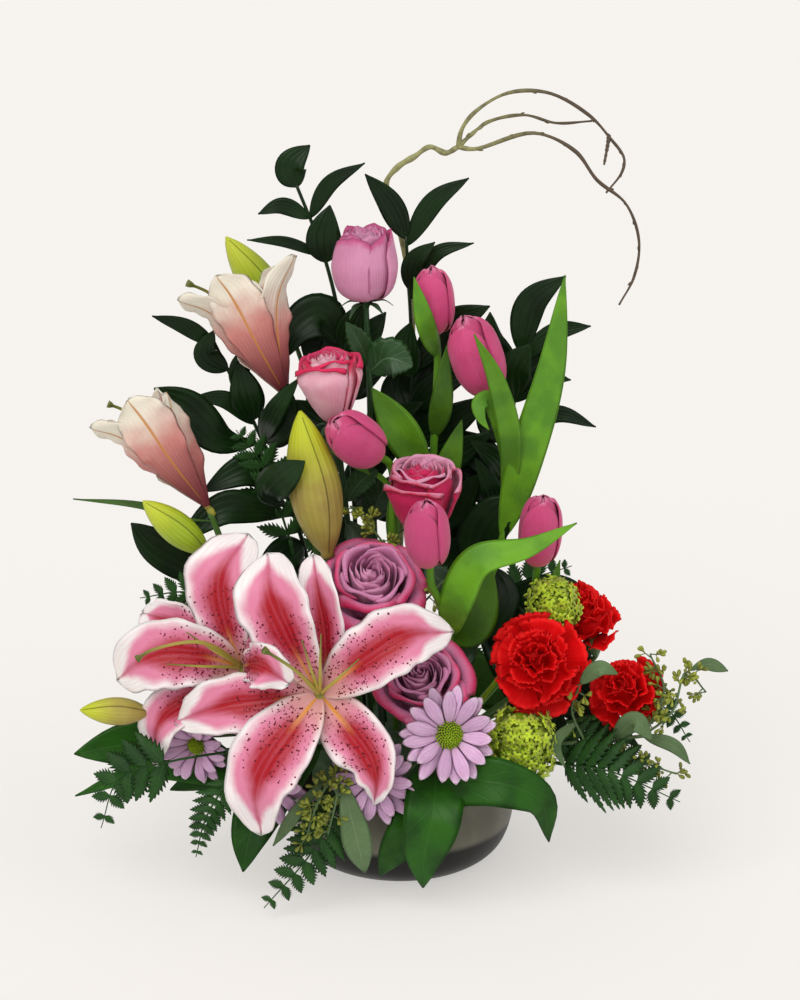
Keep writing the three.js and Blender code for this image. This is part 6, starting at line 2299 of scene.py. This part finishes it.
def collars() -> list[Spray]:
    """The broad leaves that hang over the rim."""
    rows = [
        ("collar_front", (20, -62), [
            leaf(34, (440, 778, -98), (498, 782, -118), (540, 800, -116), (549, 842, -104)),
            leaf(40, (436, 778, -98), (432, 820, -122), (424, 856, -118), (423, 888, -108)),
            leaf(30, (424, 792, -88), (408, 832, -104), (392, 854, -103), (380, 876, -96)),
        ]),
        ("collar_left", (-44, -46), [
            leaf(34, (268, 796, -72), (250, 834, -92), (243, 872, -98), shade=0.5),
            leaf(38, (240, 770, -50), (185, 750, -38), (130, 744, -42), (74, 754, -52), peak=0.6, shade=-0.6),
            leaf(14, (240, 778, -54), (150, 770, -56), (75, 796, -56), peak=0.6, shade=1.5),
            leaf(34, (250, 770, -60), (215, 772, -46), (170, 790, -44), shade=-1.2),
            leaf(36, (262, 764, -60), (272, 740, -76), (296, 800, -84), shade=-1.4),
        ]),
        ("collar_back", (0, 62), [
            leaf(40, at(20, 78, 96), at(52, 104, 92), at(84, 112, 52), roll=180),
            leaf(40, at(-20, 78, 96), at(-52, 106, 90), at(-80, 112, 48), roll=180),
            leaf(40, at(0, 80, 96), at(0, 112, 92), at(4, 122, 46), roll=180),
            leaf(46, at(24, 80, 98), at(62, 84, 98), at(94, 66, 60), roll=180, shade=0.6),
            leaf(46, at(-24, 80, 98), at(-62, 84, 98), at(-94, 66, 60), roll=180, shade=-0.6),
            leaf(44, at(30, 66, 106), at(76, 44, 108), at(102, 10, 70), roll=180, shade=-0.4),
            leaf(44, at(-30, 66, 106), at(-76, 44, 108), at(-102, 10, 70), roll=180, shade=0.4),
        ]),
    ]
    return [
        Spray(
            name, Stem(foot, at(1.25 * foot[0], 1.25 * foot[1], FOAM_TOP + 12), thick=1.8, thin=1.6),
            leaves, Look.COLLAR, "collar_leaf", True,
        )
        for name, foot, leaves in rows
    ]


def eucalyptus() -> list[Eucalyptus]:
    """The three sprays of seeded eucalyptus."""
    return [
        Eucalyptus("eucalyptus_right", Stem((60, -34), (644, 736, -70), None, [(585, 742, -66)], 1.5, 1.3), [
            Seeded([(643, 736, -70), (664, 690, -70), (650, 654, -66)], 5),
            Seeded([(643, 736, -70), (672, 712, -72), (686, 672, -70), (706, 692, -64)], 6),
            Seeded([(600, 742, -68), (632, 758, -76), (676, 774, -78)], 7),
            Seeded([(585, 742, -66), (572, 710, -76), (580, 684, -84)], 2),
        ], [
            leaf(9, (686, 670, -70), (706, 664, -60), (728, 671, -52), peak=0.6),
            leaf(11, (579, 682, -84), (600, 668, -92), (618, 674, -90)),
            leaf(10, (643, 736, -70), (674, 746, -82), (690, 764, -86)),
            leaf(15, (612, 730, -72), (636, 722, -90), (652, 740, -92)),
            leaf(8, (560, 722, -66), (556, 742, -84), (565, 768, -84), shade=-0.5),
        ]),
        Eucalyptus("eucalyptus_front", Stem((-12, -58), (338, 764, -100), thick=1.5, thin=1.3), [
            Seeded([(338, 766, -101), (318, 802, -121), (306, 838, -116)], 7),
            Seeded([(338, 766, -101), (336, 800, -116), (328, 834, -118)], 6),
        ], [
            leaf(20, (338, 764, -100), (354, 828, -120), (365, 873, -110), peak=0.6),
            leaf(9, (338, 764, -100), (300, 808, -112), (273, 846, -106), peak=0.6),
        ]),
        Eucalyptus("eucalyptus_middle", Stem((0, -12), (394, 622, -32), thick=1.5, thin=1.3), [
            Seeded([(394, 624, -32), (400, 576, -36), (372, 528, -36), (350, 506, -38)], 8),
            Seeded([(394, 624, -32), (420, 606, -50), (444, 580, -56)], 6),
        ]),
    ]


def ferns() -> list[Fern]:
    """The fern fronds."""
    return [
        Fern("fern_left", (-50, -40), [
            Frond([(225, 752, -80), (168, 762, -96), (120, 778, -98), (101, 828, -96)], 56, 8, 0.6, 0.3),
            Frond([(228, 780, -82), (206, 818, -96), (196, 857, -92)], 26),
        ]),
        Fern("fern_front", (-22, -52), [Frond([(342, 800, -104), (312, 852, -116), (264, 908, -118)], 44)]),
        Fern("fern_right", (58, -40), [
            Frond([(562, 764, -68), (612, 772, -88), (680, 802, -90)], 58),
            Frond([(640, 700, -50), (668, 710, -44), (690, 742, -42)], 26, 6, 0.6),
            Frond([(556, 742, -60), (604, 748, -66), (660, 772, -72)], 40, 8),
        ]),
        Fern("fern_upper", (-56, 6), [
            Frond([(290, 540, 2), (265, 470, -6), (236, 430, -10)], 46, 7, 0.6),
            Frond([(232, 606, -18), (186, 592, -30), (140, 598, -34)], 32, 6),
        ]),
        Fern("fern_back", (0, 54), [
            Frond([at(-20, 70, 140), at(-55, 92, 210), at(-88, 100, 262)], 56, lean=0.45, roll=180),
            Frond([at(40, 68, 130), at(90, 84, 175), at(128, 84, 190)], 46, lean=0.45, roll=180),
        ]),
    ]


def willow() -> Willow:
    """The curly willow twig."""
    fork = (458, 147, 46)
    trunk = [(404, 470, 56), (412, 320, 58), (400, 228, 56), (386, 184, 50), (398, 167, 48), (414, 157, 46),
             (430, 147, 46), (446, 153, 46)]
    return Willow(Stem((-6, 42), fork, None, trunk), [
        [fork, (462, 129, 45), (475, 112, 44), (508, 93, 44), (549, 93, 44), (590, 116, 46), (610, 138, 46),
         (624, 158, 44), (622, 172, 42), (606, 193, 40)],
        [fork, (472, 134, 50), (488, 122, 54), (524, 115, 58), (556, 123, 58), (592, 121, 56)],
        [fork, (475, 149, 40), (534, 133, 34), (575, 151, 32), (597, 180, 32), (626, 204, 34),
         (639, 241, 36), (634, 277, 36), (619, 305, 34)],
        [(609, 137, 46), (607, 149, 42), (604, 165, 40)],
    ])


# ---- studio


@dataclass(frozen=True)
class Sun:
    """A far soft light."""

    name: str
    aim: tuple[float, float, float]
    strength: float
    softness: float
    tint: Colour

    def shine(self) -> None:
        """Adds the light to the scene."""
        data = bpy.data.lights.new(self.name, "SUN")
        data.energy, data.angle, data.color = self.strength, math.radians(self.softness), self.tint
        added(self.name, data).rotation_euler = Vector(self.aim).to_track_quat("Z", "Y").to_euler()


@dataclass(frozen=True)
class Studio:
    """A plain pale floor, soft light and the camera."""

    floor_size: float = 40.0
    floor_colour: Colour = (0.42, 0.409, 0.395)
    floor_glow: Colour = (0.49, 0.477, 0.461)
    suns: Sequence[Sun] = (
        Sun("key_light", (-0.35, -0.9, 1.0), 1.85, 55.0, (1.0, 0.98, 0.95)),
        Sun("side_light", (0.9, -0.5, 0.6), 0.5, 60.0, (0.96, 0.98, 1.0)),
    )
    sky: Colour = (1.0, 0.985, 0.965)
    sky_strength: float = 0.54
    film_width: float = 36.0

    def floor(self) -> None:
        """Lays the floor: faintly grained, and pale in the object's shade too."""
        half = self.floor_size / 2
        corners = [(-half, -half, 0), (half, -half, 0), (half, half, 0), (-half, half, 0)]
        mesh = bpy.data.meshes.new("floor")
        mesh.from_pydata(corners, [], [(0, 1, 2, 3)])
        paint = Paint("pale_floor")
        grain = paint.noise(2.0, 2.0)
        colour = paint.mix(grain, self.floor_colour, tuple(0.985 * c for c in self.floor_colour))
        mesh.materials.append(paint.done(
            colour, 0.0, 0.9, 0.1, (grain, 0.02, 0.0001), Emission_Color=self.floor_glow,
            Emission_Strength=1.0,
        ))
        added("floor", mesh)

    def camera(self) -> None:
        """Sets the camera at the viewer's eye."""
        data = bpy.data.cameras.new("camera")
        data.sensor_width = self.film_width
        data.lens = self.film_width * EYE_DISTANCE * TO_METRES / UNIT_SIZE
        data.clip_start, data.clip_end = 0.05, 100.0
        camera = added("camera", data)
        target = Vector((0.0, 0.0, SIGHT_HEIGHT * TO_METRES))
        camera.location = target + Vector(TO_VIEWER) * (EYE_DISTANCE * TO_METRES)
        camera.rotation_euler = (target - camera.location).to_track_quat("-Z", "Y").to_euler()
        bpy.context.scene.camera = camera

    def build(self) -> None:
        """Sets up the floor, the lights, the surroundings and the camera."""
        self.floor()
        for sun in self.suns:
            sun.shine()
        scene = bpy.context.scene
        scene.world = bpy.data.worlds.new("studio")
        scene.world.use_nodes = True
        background = next(n for n in scene.world.node_tree.nodes if n.type == "BACKGROUND")
        background.inputs["Color"].default_value = (*self.sky, 1.0)
        background.inputs["Strength"].default_value = self.sky_strength
        self.camera()
        scene.view_settings.view_transform = "Standard"


def main() -> None:
    """Builds the arrangement class by class."""
    logging.basicConfig(level=logging.INFO, format="%(message)s")
    shop = Workshop()
    heads = daisies()
    parts = [
        Bowl(), FoamBlock(), *roses(), *tulips(), *carnations(), *lilies(), *lily_stems(), *heads,
        *daisy_sprays(heads), *viburnums(), *ruscus(), *collars(), *eucalyptus(), *ferns(), willow(),
    ]
    for part in parts:
        part.build(shop)
    Studio().build()


if __name__ == "__main__":
    main()
